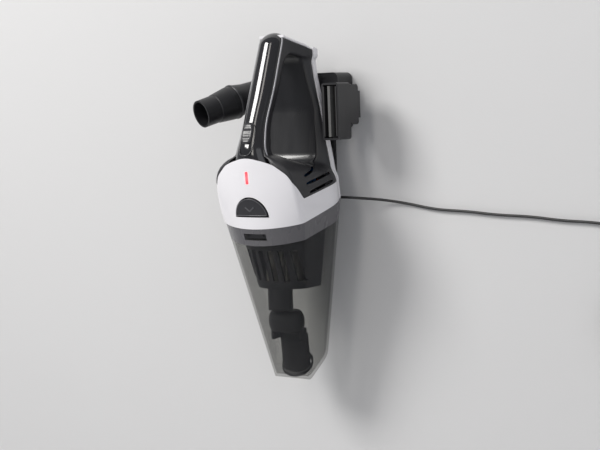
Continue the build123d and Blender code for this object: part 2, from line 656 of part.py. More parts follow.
# ---------------------------------------------------------------- tools on their pegs
def make_brush():
    """Brush tool: stepped hood with a slot mouth, bristle strip and lip pads, on its peg."""
    x, half = BRUSH_CENTRE_X, BRUSH_HALF_THICKNESS
    head = block((x - half, x + half), (BRUSH_STEP, BRUSH_FRONT), (BRUSH_LOW, BRUSH_HIGH))
    neck = block((x - half, x + half), (BRUSH_BACK, BRUSH_STEP), (277.0, 320.0))
    neck = fillet(neck.edges().filter_by(Axis.X), 4.0)
    body = fillet(head.edges().filter_by(Axis.Y), 3.0) + neck
    body -= block((x - 8.3, x + 8.3), (51.5, 80.0), (BRUSH_LOW + 2.2, BRUSH_HIGH - 2.2))
    body -= outward(x, 298.5, 20.0, 49.0, 8.06)
    holder = block((x - 2.2, x + 2.2), (51.5, 64.0), (BRUSH_LOW + 2.2, BRUSH_HIGH - 2.2))
    bristles = block((x - 1.5, x + 1.5), (64.0, 73.0), (BRUSH_LOW + 3.5, BRUSH_HIGH - 3.5))
    pads = [
        block((x + side * 8.3, x + side * 6.9), (58.0, 71.6), (BRUSH_LOW + 4.0, BRUSH_HIGH - 4.0))
        for side in (-1, 1)
    ]
    peg = outward(x, 298.5, BEAM_DEPTH, 47.0, 8.0) - outward(x, 298.5, 29.0, 45.0, 6.2)
    return body, holder, bristles, pads[0] + pads[1], peg


def crevice_frame():
    """Frame of the crevice tool: origin at its root on the beam, Z along the tool."""
    x, depth, height = CREVICE_BASE
    yaw, droop = radians(CREVICE_YAW), radians(CREVICE_DROOP)
    along = (-sin(yaw) * cos(droop), -cos(yaw) * cos(droop), -sin(droop))
    return Plane(origin=(x, -depth, height), x_dir=(cos(yaw), -sin(yaw), 0), z_dir=along)


CREVICE_PROFILE = ((6.5, 14.5), (24.0, 16.0), (38.0, 18.8), (46.0, 18.6), (64.0, 16.2), (65.0, 15.6), (83.5, 15.4))
CREVICE_WALL = 1.8


def make_crevice():
    """Crevice tool: a turned sleeve that swells behind its round end, and its peg."""
    frame = crevice_frame()
    outline = [(r, z) for z, r in CREVICE_PROFILE]
    inner = [(r - CREVICE_WALL, z) for z, r in CREVICE_PROFILE if z > 30.0]
    bottom = CREVICE_PROFILE[0][0]
    points = [(0, bottom)] + outline + list(reversed(inner)) + [(12.0, 30.0), (0, 30.0)]
    flat = make_face(Polyline(*[(r, 0, z) for r, z in points], close=True))
    sleeve = revolve(flat, Axis.Z)
    sleeve -= Pos(0, 0, 14.0) * Cylinder(8.06, 26.0)
    rim_flat = make_face(Polyline((18.8, 0, 38.0), (19.6, 0, 38.6), (19.6, 0, 40.2), (18.8, 0, 40.8), close=True))
    rim = revolve(rim_flat, Axis.Z) - Cylinder(18.85, 200.0)
    peg = Pos(0, 0, 6.0) * Cylinder(8.0, 36.0)
    placed = [frame.location * part for part in (sleeve, rim, peg)]
    placed[2] -= block((-90, 0), (-20, BEAM_DEPTH), (280, 360))
    placed[0] -= block((-90, 0), (-20, BEAM_DEPTH + GAP), (280, 360))
    return placed


# ---------------------------------------------------------------- charger lead
CORD_ROUTE = (
    (34.0, 23.0, 197.0), (47.0, 23.0, 197.0), (64.0, 16.5, 195.6), (82.0, 8.6, 193.8), (101.0, 3.8, 191.2),
    (120.0, 2.3, 188.2), (137.0, 2.2, 184.9), (156.0, 2.3, 182.6), (187.0, 2.2, 181.4), (222.0, 2.4, 178.0),
    (257.0, 2.2, 177.2), (292.0, 2.4, 173.4), (320.0, 2.4, 172.6), (345.0, 4.0, 170.4), (358.0, 5.0, 170.6),
)
COIL_CENTRE = (366.0, 6.0, 153.0)
COIL_HALF_DEPTH = 5.0
TAIL_ROUTE = ((360.0, 6.0, 137.0), (366.5, 9.0, 129.0), (366.0, 18.0, 121.0), (366.0, 18.0, 110.0))


def cord_tube(points, diameter):
    """Tube of straight runs joined by arcs, one arc at each corner of the route."""
    corners = [Vector(x, -depth, height) for x, depth, height in points]
    radii = []
    for before, at, after in zip(corners, corners[1:], corners[2:]):
        turn = radians((at - before).get_angle(after - at))
        shorter = min((at - before).length, (after - at).length)
        radii.append(0.45 * shorter / tan(turn / 2))
    print("cord radii", [round(r, 1) for r in radii])
    path = FilletPolyline(*corners, radius=radii)
    start = Plane(origin=corners[0], z_dir=corners[1] - corners[0])
    tube = sweep(start * Circle(diameter / 2), path=path)
    print("cord length", round(path.length, 1), "volume ratio", round(tube.volume / (path.length * pi * diameter**2 / 4), 4))
    return tube


def make_lead():
    """Lead from the strain relief to its coil, the tied coil, and the tail to the adapter."""
    x, depth, height = COIL_CENTRE
    run = cord_tube(CORD_ROUTE, CORD_DIAMETER)
    tail = cord_tube(TAIL_ROUTE, CORD_DIAMETER)
    outer, inner = COIL_MEAN_RADIUS + COIL_HALF_WIDTH, COIL_MEAN_RADIUS - COIL_HALF_WIDTH
    near, far = depth - COIL_HALF_DEPTH, depth + COIL_HALF_DEPTH
    hole = Pos(x, -depth, height) * Rot(90, 0, 0) * Cylinder(inner, 40.0)
    coil = Pos(x, -depth, height) * Rot(90, 0, 0) * Cylinder(outer, far - near) - hole
    side = x + COIL_MEAN_RADIUS
    tie = block((side - 7.4, side + 7.4), (0.2, far + 1.2), (height - 3.0, height + 3.0)) - coil
    print("coil length", round(COIL_TURNS * 2 * pi * COIL_MEAN_RADIUS, 1))
    return run, tail, coil, tie


ADAPTER_TOP, ADAPTER_LOW = 98.0, 52.0


def make_adapter():
    """Plug-in power adapter with two round pins, and the relief on its cord."""
    x, depth = TAIL_ROUTE[-1][0], TAIL_ROUTE[-1][1]
    case = block((x - 15.0, x + 15.0), (depth - 14.0, depth + 14.0), (ADAPTER_LOW, ADAPTER_TOP))
    case = fillet(case.edges().filter_by(Axis.Z), 6.0)
    pins = [upright(x + side * 9.5, depth, ADAPTER_LOW - 19.0, ADAPTER_LOW, 2.0) for side in (-1, 1)]
    relief = Pos(x, -depth, ADAPTER_TOP) * Cone(3.2, 2.0, 12.0, align=(Align.CENTER, Align.CENTER, Align.MIN))
    return case, pins[0] + pins[1], relief


# ---------------------------------------------------------------- build and save
def largest(shape):
    """Drop the slivers that a split leaves, keeping the main solid."""
    return max(shape.solids(), key=lambda solid: solid.volume)


def main():
    """Make every part and write it."""
    os.makedirs(PARTS, exist_ok=True)
    rear, white, insert, liner, left, right = make_casing()
    white -= half_moon(0.0, 100.0, 160.0) & dome_skin(-2.0, WALL + 1.0)
    white -= lamp_outline(0.0, 120.0, 150.0)
    insert = largest(insert) - switch_recess()
    rear -= keyhole()
    rear -= upright(0, PLUG_DEPTH - 4.0, 190.0, 219.0, 3.0)
    for shape, node in ((rear, "rear_shell"), (white, "front_shell"), (insert, "handle_insert"),
                        (liner, "opening_liner"), (left, "side_panel_left"), (right, "side_panel_right")):
        save(node, largest(shape))
    save("battery_lamp", lamp_outline(0.0, 120.0, 150.0) & dome_skin(-0.3, WALL))
    save("release_button", make_button())
    save("latch_pin", make_latch_pin())
    save("latch_ears", make_latch_ears())
    save("latch_spring", make_latch_spring())
    save("switch_slider", make_switch())
    save("switch_module", make_switch_module())
    for node, shape in zip(("motor_can", "motor_plate", "fan_housing", "rotor_shaft", "impeller"), make_motor()):
        save(node, shape)
    for node, shape in zip(("battery_cells", "cell_holders"), make_cells()):
        save(node, shape)
    save("circuit_board", block((-20.0, 20.0), (41.0, 42.6), (249.0, 276.0)))
    for node, shape in zip(("dust_bin", "bin_collar", "inlet_lip"), make_bin()):
        save(node, shape)
    for node, shape in zip(("inlet_duct", "duct_hood"), make_duct()):
        save(node, shape)
    filter_nodes = ("filter_frame", "filter_seal", "filter_cage", "pleated_filter", "float_stub")
    for node, shape in zip(filter_nodes, make_filter()):
        save(node, shape)
    for node, shape in zip(("wall_plate", "tool_beam", "hanging_tongue", "screw_caps"), make_bracket()):
        save(node, shape)
    for node, shape in zip(("charging_cradle", "charging_plug", "strain_relief", "charging_socket"), make_charging()):
        save(node, shape)
    brush_nodes = ("brush_body", "bristle_holder", "brush_bristles", "brush_lip_pads", "brush_peg")
    for node, shape in zip(brush_nodes, make_brush()):
        save(node, shape)
    for node, shape in zip(("crevice_tool", "crevice_rim", "crevice_peg"), make_crevice()):
        save(node, shape)
    for node, shape in zip(("cord_run", "cord_tail", "cord_coil", "coil_tie"), make_lead()):
        save(node, shape)
    for node, shape in zip(("power_adapter", "adapter_pins", "adapter_relief"), make_adapter()):
        save(node, shape)


if __name__ == "__main__":
    main()
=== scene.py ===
import logging
from dataclasses import dataclass, field
from enum import Enum
from math import cos, pi, radians, sin, tan

import bpy
import numpy as np
from mathutils import Matrix, Vector


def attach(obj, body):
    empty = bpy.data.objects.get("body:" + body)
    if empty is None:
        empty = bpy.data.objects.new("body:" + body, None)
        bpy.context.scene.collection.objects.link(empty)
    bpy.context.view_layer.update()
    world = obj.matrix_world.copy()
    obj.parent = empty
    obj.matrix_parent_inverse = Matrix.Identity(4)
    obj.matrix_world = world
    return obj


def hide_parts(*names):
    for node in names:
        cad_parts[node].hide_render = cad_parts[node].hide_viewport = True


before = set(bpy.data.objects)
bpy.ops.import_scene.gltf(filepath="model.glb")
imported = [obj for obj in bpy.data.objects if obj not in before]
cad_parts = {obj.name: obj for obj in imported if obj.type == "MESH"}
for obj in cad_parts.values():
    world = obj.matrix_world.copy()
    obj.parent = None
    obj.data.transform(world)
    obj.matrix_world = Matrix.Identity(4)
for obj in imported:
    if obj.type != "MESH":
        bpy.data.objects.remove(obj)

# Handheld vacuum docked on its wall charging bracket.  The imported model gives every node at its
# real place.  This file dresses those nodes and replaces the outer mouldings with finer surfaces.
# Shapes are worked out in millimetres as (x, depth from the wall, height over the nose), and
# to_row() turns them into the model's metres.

LOG = logging.getLogger("vacuum")
MM = 0.001
SCREW_HEIGHT = 300.0
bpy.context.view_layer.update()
Array = np.ndarray


# ================================================================= geometry helpers
def to_row(x: Array, depth: Array, height: Array) -> Array:
    """Points of the model, in metres, from x, depth and height in millimetres.

    Args:
        x: Sideways places.
        depth: Distances out from the wall.
        height: Heights over the nose.

    Returns:
        An array whose last axis holds the three coordinates.
    """
    x, depth, height = np.broadcast_arrays(x, depth, height)
    return np.stack([x, -depth, height - SCREW_HEIGHT], axis=-1).astype(float) * MM


def hermite(at: Array, knots: Array, values: Array) -> Array:
    """Smooth curve through knots: a cubic on each span, with slopes from its neighbours.

    Args:
        at: Where the curve is read.
        knots: Rising knot places.
        values: The curve's values at the knots.

    Returns:
        The curve's values at the places asked for.
    """
    knots, values = np.asarray(knots, float), np.asarray(values, float)
    slopes = np.gradient(values, knots)
    at = np.clip(np.asarray(at, float), knots[0], knots[-1])
    k = np.clip(np.searchsorted(knots, at, side="right") - 1, 0, len(knots) - 2)
    span = knots[k + 1] - knots[k]
    t = (at - knots[k]) / span
    from_left = (2 * t**3 - 3 * t**2 + 1) * values[k] + (t**3 - 2 * t**2 + t) * span * slopes[k]
    from_right = (-2 * t**3 + 3 * t**2) * values[k + 1] + (t**3 - t**2) * span * slopes[k + 1]
    return from_left + from_right


def unit(vectors: Array) -> Array:
    """Vectors scaled to length one."""
    return vectors / np.maximum(np.linalg.norm(vectors, axis=-1, keepdims=True), 1e-12)


def grid_normals(points: Array, wrap: bool = False) -> Array:
    """Normals of a grid: the cross product of its two directions of travel.

    Args:
        points: Grid of shape rows, columns, 3.
        wrap: True if the last column joins the first.

    Returns:
        Unit normals of the same shape.
    """
    down = np.gradient(points, axis=0)
    if wrap:
        across = np.roll(points, -1, axis=1) - np.roll(points, 1, axis=1)
    else:
        across = np.gradient(points, axis=1)
    return unit(np.cross(down, across))


def quads(rows: int, columns: int, first: int = 0, wrap: bool = False) -> Array:
    """Quads of a grid whose points are numbered row by row.

    Args:
        rows: Number of rows of points.
        columns: Number of points in a row.
        first: Number of the grid's first point.
        wrap: True if the last column joins the first.

    Returns:
        Index array of shape quads, 4.
    """
    r = np.arange(rows - 1)[:, None]
    c = np.arange(columns if wrap else columns - 1)[None, :]
    after = (c + 1) % columns
    corners = [r * columns + c, r * columns + after, (r + 1) * columns + after, (r + 1) * columns + c]
    return first + np.stack(np.broadcast_arrays(*corners), -1).reshape(-1, 4)


def signed_volume(points: Array, faces: list) -> float:
    """Volume inside a closed mesh, negative where its faces point inwards."""
    total = 0.0
    for block in faces:
        block = np.asarray(block)
        a = points[block[:, 0]]
        for k in range(1, block.shape[1] - 1):
            b, c = points[block[:, k]], points[block[:, k + 1]]
            total += np.einsum("ij,ij->", a, np.cross(b, c)) / 6.0
    return float(total)


@dataclass
class Piece:
    """A mesh that is gathered from blocks of points and faces, then made an object."""

    name: str
    points: list = field(default_factory=list)
    faces: list = field(default_factory=list)
    count: int = 0

    def add(self, points: Array, faces: list) -> None:
        """Take in one closed part, turned outwards.

        Args:
            points: Points of shape n, 3, in metres.
            faces: Index arrays of triangles or quads.
        """
        points = np.asarray(points, float).reshape(-1, 3)
        centred = points - points.mean(axis=0)
        flip = signed_volume(centred, faces) < 0
        for block in faces:
            block = np.asarray(block)[:, ::-1] if flip else np.asarray(block)
            self.faces.append(block + self.count)
        self.points.append(points)
        self.count += len(points)

    def build(self, material: bpy.types.Material, body: str, smooth: float = 35.0) -> bpy.types.Object:
        """Make the object, shade it and let it ride.

        Args:
            material: Its finish.
            body: The body that it moves with.
            smooth: Edges sharper than this many degrees stay crisp.

        Returns:
            The new object.
        """
        mesh = bpy.data.meshes.new(self.name)
        faces = [face for block in self.faces for face in block.tolist()]
        mesh.from_pydata(np.concatenate(self.points).tolist(), [], faces)
        mesh.validate(clean_customdata=False)
        mesh.polygons.foreach_set("use_smooth", np.ones(len(mesh.polygons), bool))
        mesh.set_sharp_from_angle(angle=radians(smooth))
        mesh.materials.append(material)
        piece = bpy.data.objects.new(self.name, mesh)
        bpy.context.scene.collection.objects.link(piece)
        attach(piece, body)
        return piece


def thick_sheet(outer: Array, inner: Array) -> tuple[Array, list]:
    """Closed wall between two open grids, with a rim of quads all round.

    Args:
        outer: Outside grid of shape rows, columns, 3.
        inner: Inside grid of the same shape.

    Returns:
        Points and face blocks.
    """
    rows, columns = outer.shape[:2]
    total = rows * columns
    ring = np.concatenate([
        np.arange(columns),
        np.arange(1, rows) * columns + columns - 1,
        (rows - 1) * columns + np.arange(columns - 2, -1, -1),
        np.arange(rows - 2, 0, -1) * columns,
    ])
    onward = np.roll(ring, -1)
    rim = np.stack([onward, ring, ring + total, onward + total], axis=-1)
    points = np.concatenate([outer.reshape(-1, 3), inner.reshape(-1, 3)])
    return points, [quads(rows, columns), quads(rows, columns, total)[:, ::-1], rim]


def tube_wall(outer: Array, inner: Array) -> tuple[Array, list]:
    """Closed wall between two grids that wrap round, with a ring of quads at each end.

    Args:
        outer: Outside grid of shape rows, columns, 3.
        inner: Inside grid of the same shape.

    Returns:
        Points and face blocks.
    """
    rows, columns = outer.shape[:2]
    total = rows * columns
    near = np.arange(columns)
    onward = np.roll(near, -1)
    last = (rows - 1) * columns
    ends = [
        np.stack([onward, near, near + total, onward + total], axis=-1),
        np.stack([near + last, onward + last, onward + last + total, near + last + total], axis=-1),
    ]
    points = np.concatenate([outer.reshape(-1, 3), inner.reshape(-1, 3)])
    return points, [quads(rows, columns, 0, True), quads(rows, columns, total, True)[:, ::-1], *ends]


def capped(loops: Array) -> tuple[Array, list]:
    """Solid through closed loops, with a fan of triangles at each end.

    Args:
        loops: Grid of shape loops, points in a loop, 3.

    Returns:
        Points and face blocks.
    """
    rows, columns = loops.shape[:2]
    near = np.arange(columns)
    onward = np.roll(near, -1)
    first, last = rows * columns, rows * columns + 1
    end = (rows - 1) * columns
    fans = [
        np.stack([onward, near, np.full(columns, first)], axis=-1),
        np.stack([near + end, onward + end, np.full(columns, last)], axis=-1),
    ]
    points = np.concatenate([loops.reshape(-1, 3), loops[0].mean(0)[None], loops[-1].mean(0)[None]])
    return points, [quads(rows, columns, 0, True), *fans]


def frames_along(path: Array, up: Array) -> tuple[Array, Array]:
    """Two directions square to a path, the first as near as can be to a given one.

    Args:
        path: Points of shape n, 3.
        up: Direction that the first side keeps to.

    Returns:
        Two arrays of unit vectors.
    """
    along = unit(np.gradient(path, axis=0))
    side = unit(np.cross(along, np.broadcast_to(up, path.shape)))
    return side, unit(np.cross(side, along))


def swept(path: Array, across: Array, up: Array) -> tuple[Array, list]:
    """Solid made by carrying a flat outline along a path.

    Args:
        path: Points of shape n, 3.
        across: Outline of shape m, 2, or n, m, 2 where it changes along the path.
        up: Direction that the outline's second axis keeps to.

    Returns:
        Points and face blocks.
    """
    side, top = frames_along(path, up)
    across = np.broadcast_to(across, (len(path),) + across.shape[-2:])
    loops = path[:, None] + across[..., :1] * side[:, None] + across[..., 1:] * top[:, None]
    return capped(loops)


def round_outline(half_x: float, half_y: float, power: float = 2.0, count: int = 32) -> Array:
    """Superellipse: x and y are powers of the cosine and sine, square for a high power.

    Args:
        half_x: Half the width.
        half_y: Half the height.
        power: 2 for an ellipse, more for a squarer shape.
        count: Number of points.

    Returns:
        Points of shape count, 2.
    """
    turn = np.linspace(0, 2 * pi, count, endpoint=False)
    x, y = np.cos(turn), np.sin(turn)
    squared = [half * np.sign(v) * np.abs(v) ** (2 / power) for half, v in ((half_x, x), (half_y, y))]
    return np.stack(squared, -1)


def turned(profile: list, count: int = 64) -> Array:
    """Loops of a turned shape: each (radius, along) pair of the profile makes one circle.

    Args:
        profile: Radius and place along the axis, pair by pair.
        count: Points in each circle.

    Returns:
        Grid of shape pairs, count, 3, with the axis along the third coordinate.
    """
    radius, along = np.array(profile, float).T
    turn = np.linspace(0, 2 * pi, count, endpoint=False)
    x, y = radius[:, None] * np.cos(turn), radius[:, None] * np.sin(turn)
    return np.stack([x, y, np.broadcast_to(along[:, None], x.shape)], axis=-1)


# ================================================================= shader helpers
@dataclass(frozen=True)
class Value:
    """A socket of a node tree that can be added, scaled and compared like a number."""

    tree: bpy.types.NodeTree
    socket: bpy.types.NodeSocket

    def _maths(self, operation: str, *terms: "Value | float") -> "Value":
        """Add a Math node that works on the terms, and return its output."""
        node = self.tree.nodes.new("ShaderNodeMath")
        node.operation = operation
        for slot, term in zip(node.inputs, terms):
            if isinstance(term, Value):
                self.tree.links.new(term.socket, slot)
            else:
                slot.default_value = float(term)
        return Value(self.tree, node.outputs[0])

    def __add__(self, other: "Value | float") -> "Value":
        """Sum."""
        return self._maths("ADD", self, other)

    __radd__ = __add__

    def __sub__(self, other: "Value | float") -> "Value":
        """Difference."""
        return self._maths("SUBTRACT", self, other)

    def __rsub__(self, other: float) -> "Value":
        """Difference from a number."""
        return self._maths("SUBTRACT", other, self)

    def __mul__(self, other: "Value | float") -> "Value":
        """Product."""
        return self._maths("MULTIPLY", self, other)

    __rmul__ = __mul__

    def __truediv__(self, other: "Value | float") -> "Value":
        """Quotient."""
        return self._maths("DIVIDE", self, other)

    def __abs__(self) -> "Value":
        """Size without sign."""
        return self._maths("ABSOLUTE", self)

    def power(self, other: float) -> "Value":
        """Power."""
        return self._maths("POWER", self, other)

    def below(self, other: "Value | float") -> "Value":
        """One where this is less than the other, else zero."""
        return self._maths("LESS_THAN", self, other)

    def clipped(self) -> "Value":
        """This number, held between zero and one."""
        return self._maths("MINIMUM", self._maths("MAXIMUM", self, 0.0), 1.0)


class Recipe:
    """Node tree of one material, with its Principled shader and short ways to other nodes."""

    def __init__(self, name: str) -> None:
        """Start a material of that name."""
        self.material = bpy.data.materials.new(name)
        self.material.use_nodes = True
        self.tree = self.material.node_tree
        self.shader = self.tree.nodes["Principled BSDF"]
        self.output = self.tree.nodes["Material Output"]

    def node(self, kind: str, settings: dict | None = None, sockets: dict | None = None, out: int | str = 0) -> Value:
        """Add a node.

        Args:
            kind: Its type, without the ShaderNode in front.
            settings: Properties, set first. "stops" holds a ramp's places and colours.
            sockets: Values or links by socket name or number.
            out: The output that is returned.

        Returns:
            The output, ready for arithmetic.
        """
        node = self.tree.nodes.new("ShaderNode" + kind)
        for key, value in (settings or {}).items():
            if key == "stops":
                ramp = node.color_ramp.elements
                while len(ramp) < len(value):
                    ramp.new(0.5)
                for stop, (place, colour) in zip(ramp, value):
                    stop.position = place
                    stop.color = (*colour, 1.0)
            else:
                setattr(node, key, value)
        for key, value in (sockets or {}).items():
            if isinstance(value, Value):
                self.tree.links.new(value.socket, node.inputs[key])
            else:
                node.inputs[key].default_value = value
        return Value(self.tree, node.outputs[out])

    def place(self, shift: tuple = (0, 0, 0), scale: tuple = (1, 1, 1), turn: tuple = (0, 0, 0)) -> Value:
        """Object coordinates, moved, scaled and turned by a Mapping node."""
        at = self.node("TexCoord", out="Object")
        return self.node("Mapping", sockets={"Vector": at, "Location": shift, "Rotation": turn, "Scale": scale})

    def axes(self) -> tuple[Value, Value, Value]:
        """The three Object coordinates, in metres."""
        at = self.node("TexCoord", out="Object")
        return tuple(self.node("SeparateXYZ", sockets={0: at}, out=k) for k in range(3))

    def noise(self, scale: float, detail: float = 2.0, at: Value | None = None) -> Value:
        """Noise from zero to one, with scale in lumps to the metre."""
        at = at or self.node("TexCoord", out="Object")
        return self.node("TexNoise", sockets={"Vector": at, "Scale": scale, "Detail": detail})

    def blend(self, share: Value | float, first: tuple | Value, second: tuple | Value) -> Value:
        """Colour between two others."""
        first, second = ((*c, 1.0) if isinstance(c, tuple) else c for c in (first, second))
        return self.node("Mix", {"data_type": "RGBA"}, {0: share, 6: first, 7: second}, out=2)

    def link(self, socket: str, value: Value | float | tuple) -> None:
        """Set or link a socket of the Principled shader."""
        slot = self.shader.inputs[socket]
        if isinstance(value, Value):
            self.tree.links.new(value.socket, slot)
        elif isinstance(value, tuple):
            slot.default_value = (*value, 1.0)
        else:
            slot.default_value = value

    def bump(self, height: Value, strength: float, distance: float) -> None:
        """Feed a height into the shader's normal, with the distance in metres."""
        self.link("Normal", self.node("Bump", sockets={"Height": height, "Strength": strength, "Distance": distance}))


# ================================================================= finishes
@dataclass(frozen=True)
class Moulding:
    """Moulded plastic: a colour with slow drift, fine grain in the skin and scattered dust."""

    name: str
    colour: tuple
    drift: float = 0.06
    roughness: float = 0.35
    roughness_drift: float = 0.08
    grain_scale: float = 1400.0
    grain: float = 0.05
    wave: float = 0.0
    coat: float = 0.0
    metallic: float = 0.0
    dust: float = 0.0

    def make(self) -> bpy.types.Material:
        """Material of this finish."""
        recipe = Recipe(self.name)
        slow = recipe.noise(22.0, 3.0)
        shade = tuple(c * (1 - self.drift) for c in self.colour)
        light = tuple(min(1.0, c * (1 + self.drift)) for c in self.colour)
        colour = recipe.blend(slow, shade, light)
        if self.dust:
            speck = (recipe.noise(900.0, 4.0) - 0.66).clipped() * 6.0
            colour = recipe.blend((speck * self.dust).clipped(), colour, (0.55, 0.55, 0.56))
        recipe.link("Base Color", colour)
        wipe = recipe.noise(60.0, 4.0, recipe.place(scale=(1.0, 1.0, 0.25)))
        recipe.link("Roughness", wipe * (2 * self.roughness_drift) + (self.roughness - self.roughness_drift))
        recipe.link("Metallic", self.metallic)
        recipe.link("Coat Weight", self.coat)
        recipe.link("Coat Roughness", 0.06)
        height = recipe.noise(self.grain_scale, 3.0) * self.grain
        if self.wave:
            height = height + recipe.noise(85.0, 1.0) * self.wave
        recipe.bump(height, 1.0, 0.0004)
        return recipe.material


@dataclass(frozen=True)
class SmokedClear:
    """Smoked see-through plastic: a tinted Transparent shader under a glossy skin."""

    name: str
    tint: tuple = (0.85, 0.85, 0.84)
    skin: tuple = (0.035, 0.036, 0.042)
    body: float = 0.09

    def make(self) -> bpy.types.Material:
        """Material of this finish."""
        recipe = Recipe(self.name)
        haze = recipe.noise(140.0, 4.0)
        streaks = recipe.noise(30.0, 3.0, recipe.place(scale=(1.0, 1.0, 0.2)))
        recipe.link("Base Color", recipe.blend(haze, self.skin, tuple(2.2 * c for c in self.skin)))
        recipe.link("Roughness", haze * 0.10 + 0.05)
        recipe.bump(recipe.noise(60.0, 1.0), 0.25, 0.0004)
        clear = recipe.node("BsdfTransparent", sockets={"Color": (*self.tint, 1.0)})
        rim = recipe.node("LayerWeight", sockets={"Blend": 0.28}, out="Facing")
        share = rim * 0.30 + (self.body - 0.05) + streaks * 0.08
        gloss = Value(recipe.tree, recipe.shader.outputs[0])
        mixed = recipe.node("MixShader", sockets={0: share.clipped(), 1: clear, 2: gloss})
        recipe.tree.links.new(mixed.socket, recipe.output.inputs["Surface"])
        return recipe.material


@dataclass(frozen=True)
class Lit:
    """Red lens with a lamp behind it, brighter in the middle of its length."""

    name: str
    colour: tuple = (0.85, 0.02, 0.03)
    low: float = -0.0805
    high: float = -0.068

    def make(self) -> bpy.types.Material:
        """Material of this finish."""
        recipe = Recipe(self.name)
        height = recipe.axes()[2]
        off_centre = abs(height - (self.low + self.high) / 2) / ((self.high - self.low) / 2)
        glow = (1.15 - off_centre * 0.75).clipped()
        recipe.link("Base Color", self.colour)
        recipe.link("Roughness", recipe.noise(900.0) * 0.1 + 0.2)
        recipe.link("Emission Color", recipe.blend(glow, (0.25, 0.0, 0.004), (1.0, 0.06, 0.07)))
        recipe.link("Emission Strength", 3.2)
        return recipe.material


@dataclass(frozen=True)
class Metal:
    """Bare metal with fine drawn lines along one axis and a few darker stains."""

    name: str
    colour: tuple = (0.62, 0.62, 0.64)
    stain: tuple = (0.38, 0.37, 0.36)
    roughness: float = 0.28

    def make(self) -> bpy.types.Material:
        """Material of this finish."""
        recipe = Recipe(self.name)
        stains = (recipe.noise(120.0, 4.0) - 0.45).clipped() * 2.5
        recipe.link("Base Color", recipe.blend(stains.clipped(), self.colour, self.stain))
        lines = recipe.noise(700.0, 2.0, recipe.place(scale=(1.0, 1.0, 0.05)))
        recipe.link("Roughness", lines * 0.25 + (self.roughness - 0.1))
        recipe.link("Metallic", 1.0)
        recipe.bump(lines, 0.4, 0.00008)
        return recipe.material


@dataclass(frozen=True)
class Pleats:
    """Filter paper: pale fibres with grey dust in scattered patches."""

    name: str

    def make(self) -> bpy.types.Material:
        """Material of this finish."""
        recipe = Recipe(self.name)
        fibres = recipe.noise(1800.0, 5.0)
        soil = (recipe.noise(50.0, 3.0) * 1.6 - 0.4).clipped()
        clean = recipe.blend(fibres, (0.40, 0.38, 0.34), (0.58, 0.56, 0.50))
        recipe.link("Base Color", recipe.blend(soil, clean, (0.10, 0.10, 0.10)))
        recipe.link("Roughness", fibres * 0.1 + 0.85)
        recipe.bump(fibres, 0.6, 0.0003)
        return recipe.material


@dataclass(frozen=True)
class Board:
    """Circuit board: green lacquer with a net of paler tracks."""

    name: str

    def make(self) -> bpy.types.Material:
        """Material of this finish."""
        recipe = Recipe(self.name)
        cells = recipe.node(
            "TexVoronoi", {"feature": "DISTANCE_TO_EDGE"},
            {"Vector": recipe.place(scale=(1.0, 1.0, 0.4)), "Scale": 420.0, "Randomness": 0.6}, out="Distance",
        )
        track = cells.below(0.09)
        recipe.link("Base Color", recipe.blend(track, (0.015, 0.10, 0.045), (0.10, 0.26, 0.12)))
        recipe.link("Roughness", track * 0.15 + 0.3)
        recipe.bump(track, 0.5, 0.0001)
        return recipe.material


@dataclass(frozen=True)
class Bristle:
    """Nylon filaments: pale, streaked from root to tip."""

    name: str
    light: tuple = (0.16, 0.16, 0.155)
    dark: tuple = (0.05, 0.05, 0.05)

    def make(self) -> bpy.types.Material:
        """Material of this finish."""
        recipe = Recipe(self.name)
        streak = recipe.noise(2400.0, 2.0, recipe.place(scale=(1.0, 0.06, 1.0)))
        recipe.link("Base Color", recipe.blend(streak, self.dark, self.light))
        recipe.link("Roughness", streak * 0.15 + 0.45)
        recipe.bump(streak, 0.5, 0.0002)
        return recipe.material


@dataclass(frozen=True)
class Plaster:
    """Painted wall: pale, with a slow drift and a fine roller stipple."""

    name: str
    colour: tuple = (0.62, 0.62, 0.625)

    def make(self) -> bpy.types.Material:
        """Material of this finish."""
        recipe = Recipe(self.name)
        drift = recipe.noise(2.5, 2.0)
        dark, light = (tuple(c * factor for c in self.colour) for factor in (0.98, 1.02))
        recipe.link("Base Color", recipe.blend(drift, dark, light))
        recipe.link("Roughness", recipe.noise(40.0) * 0.06 + 0.7)
        recipe.bump(recipe.noise(500.0, 3.0), 0.15, 0.0005)
        return recipe.material


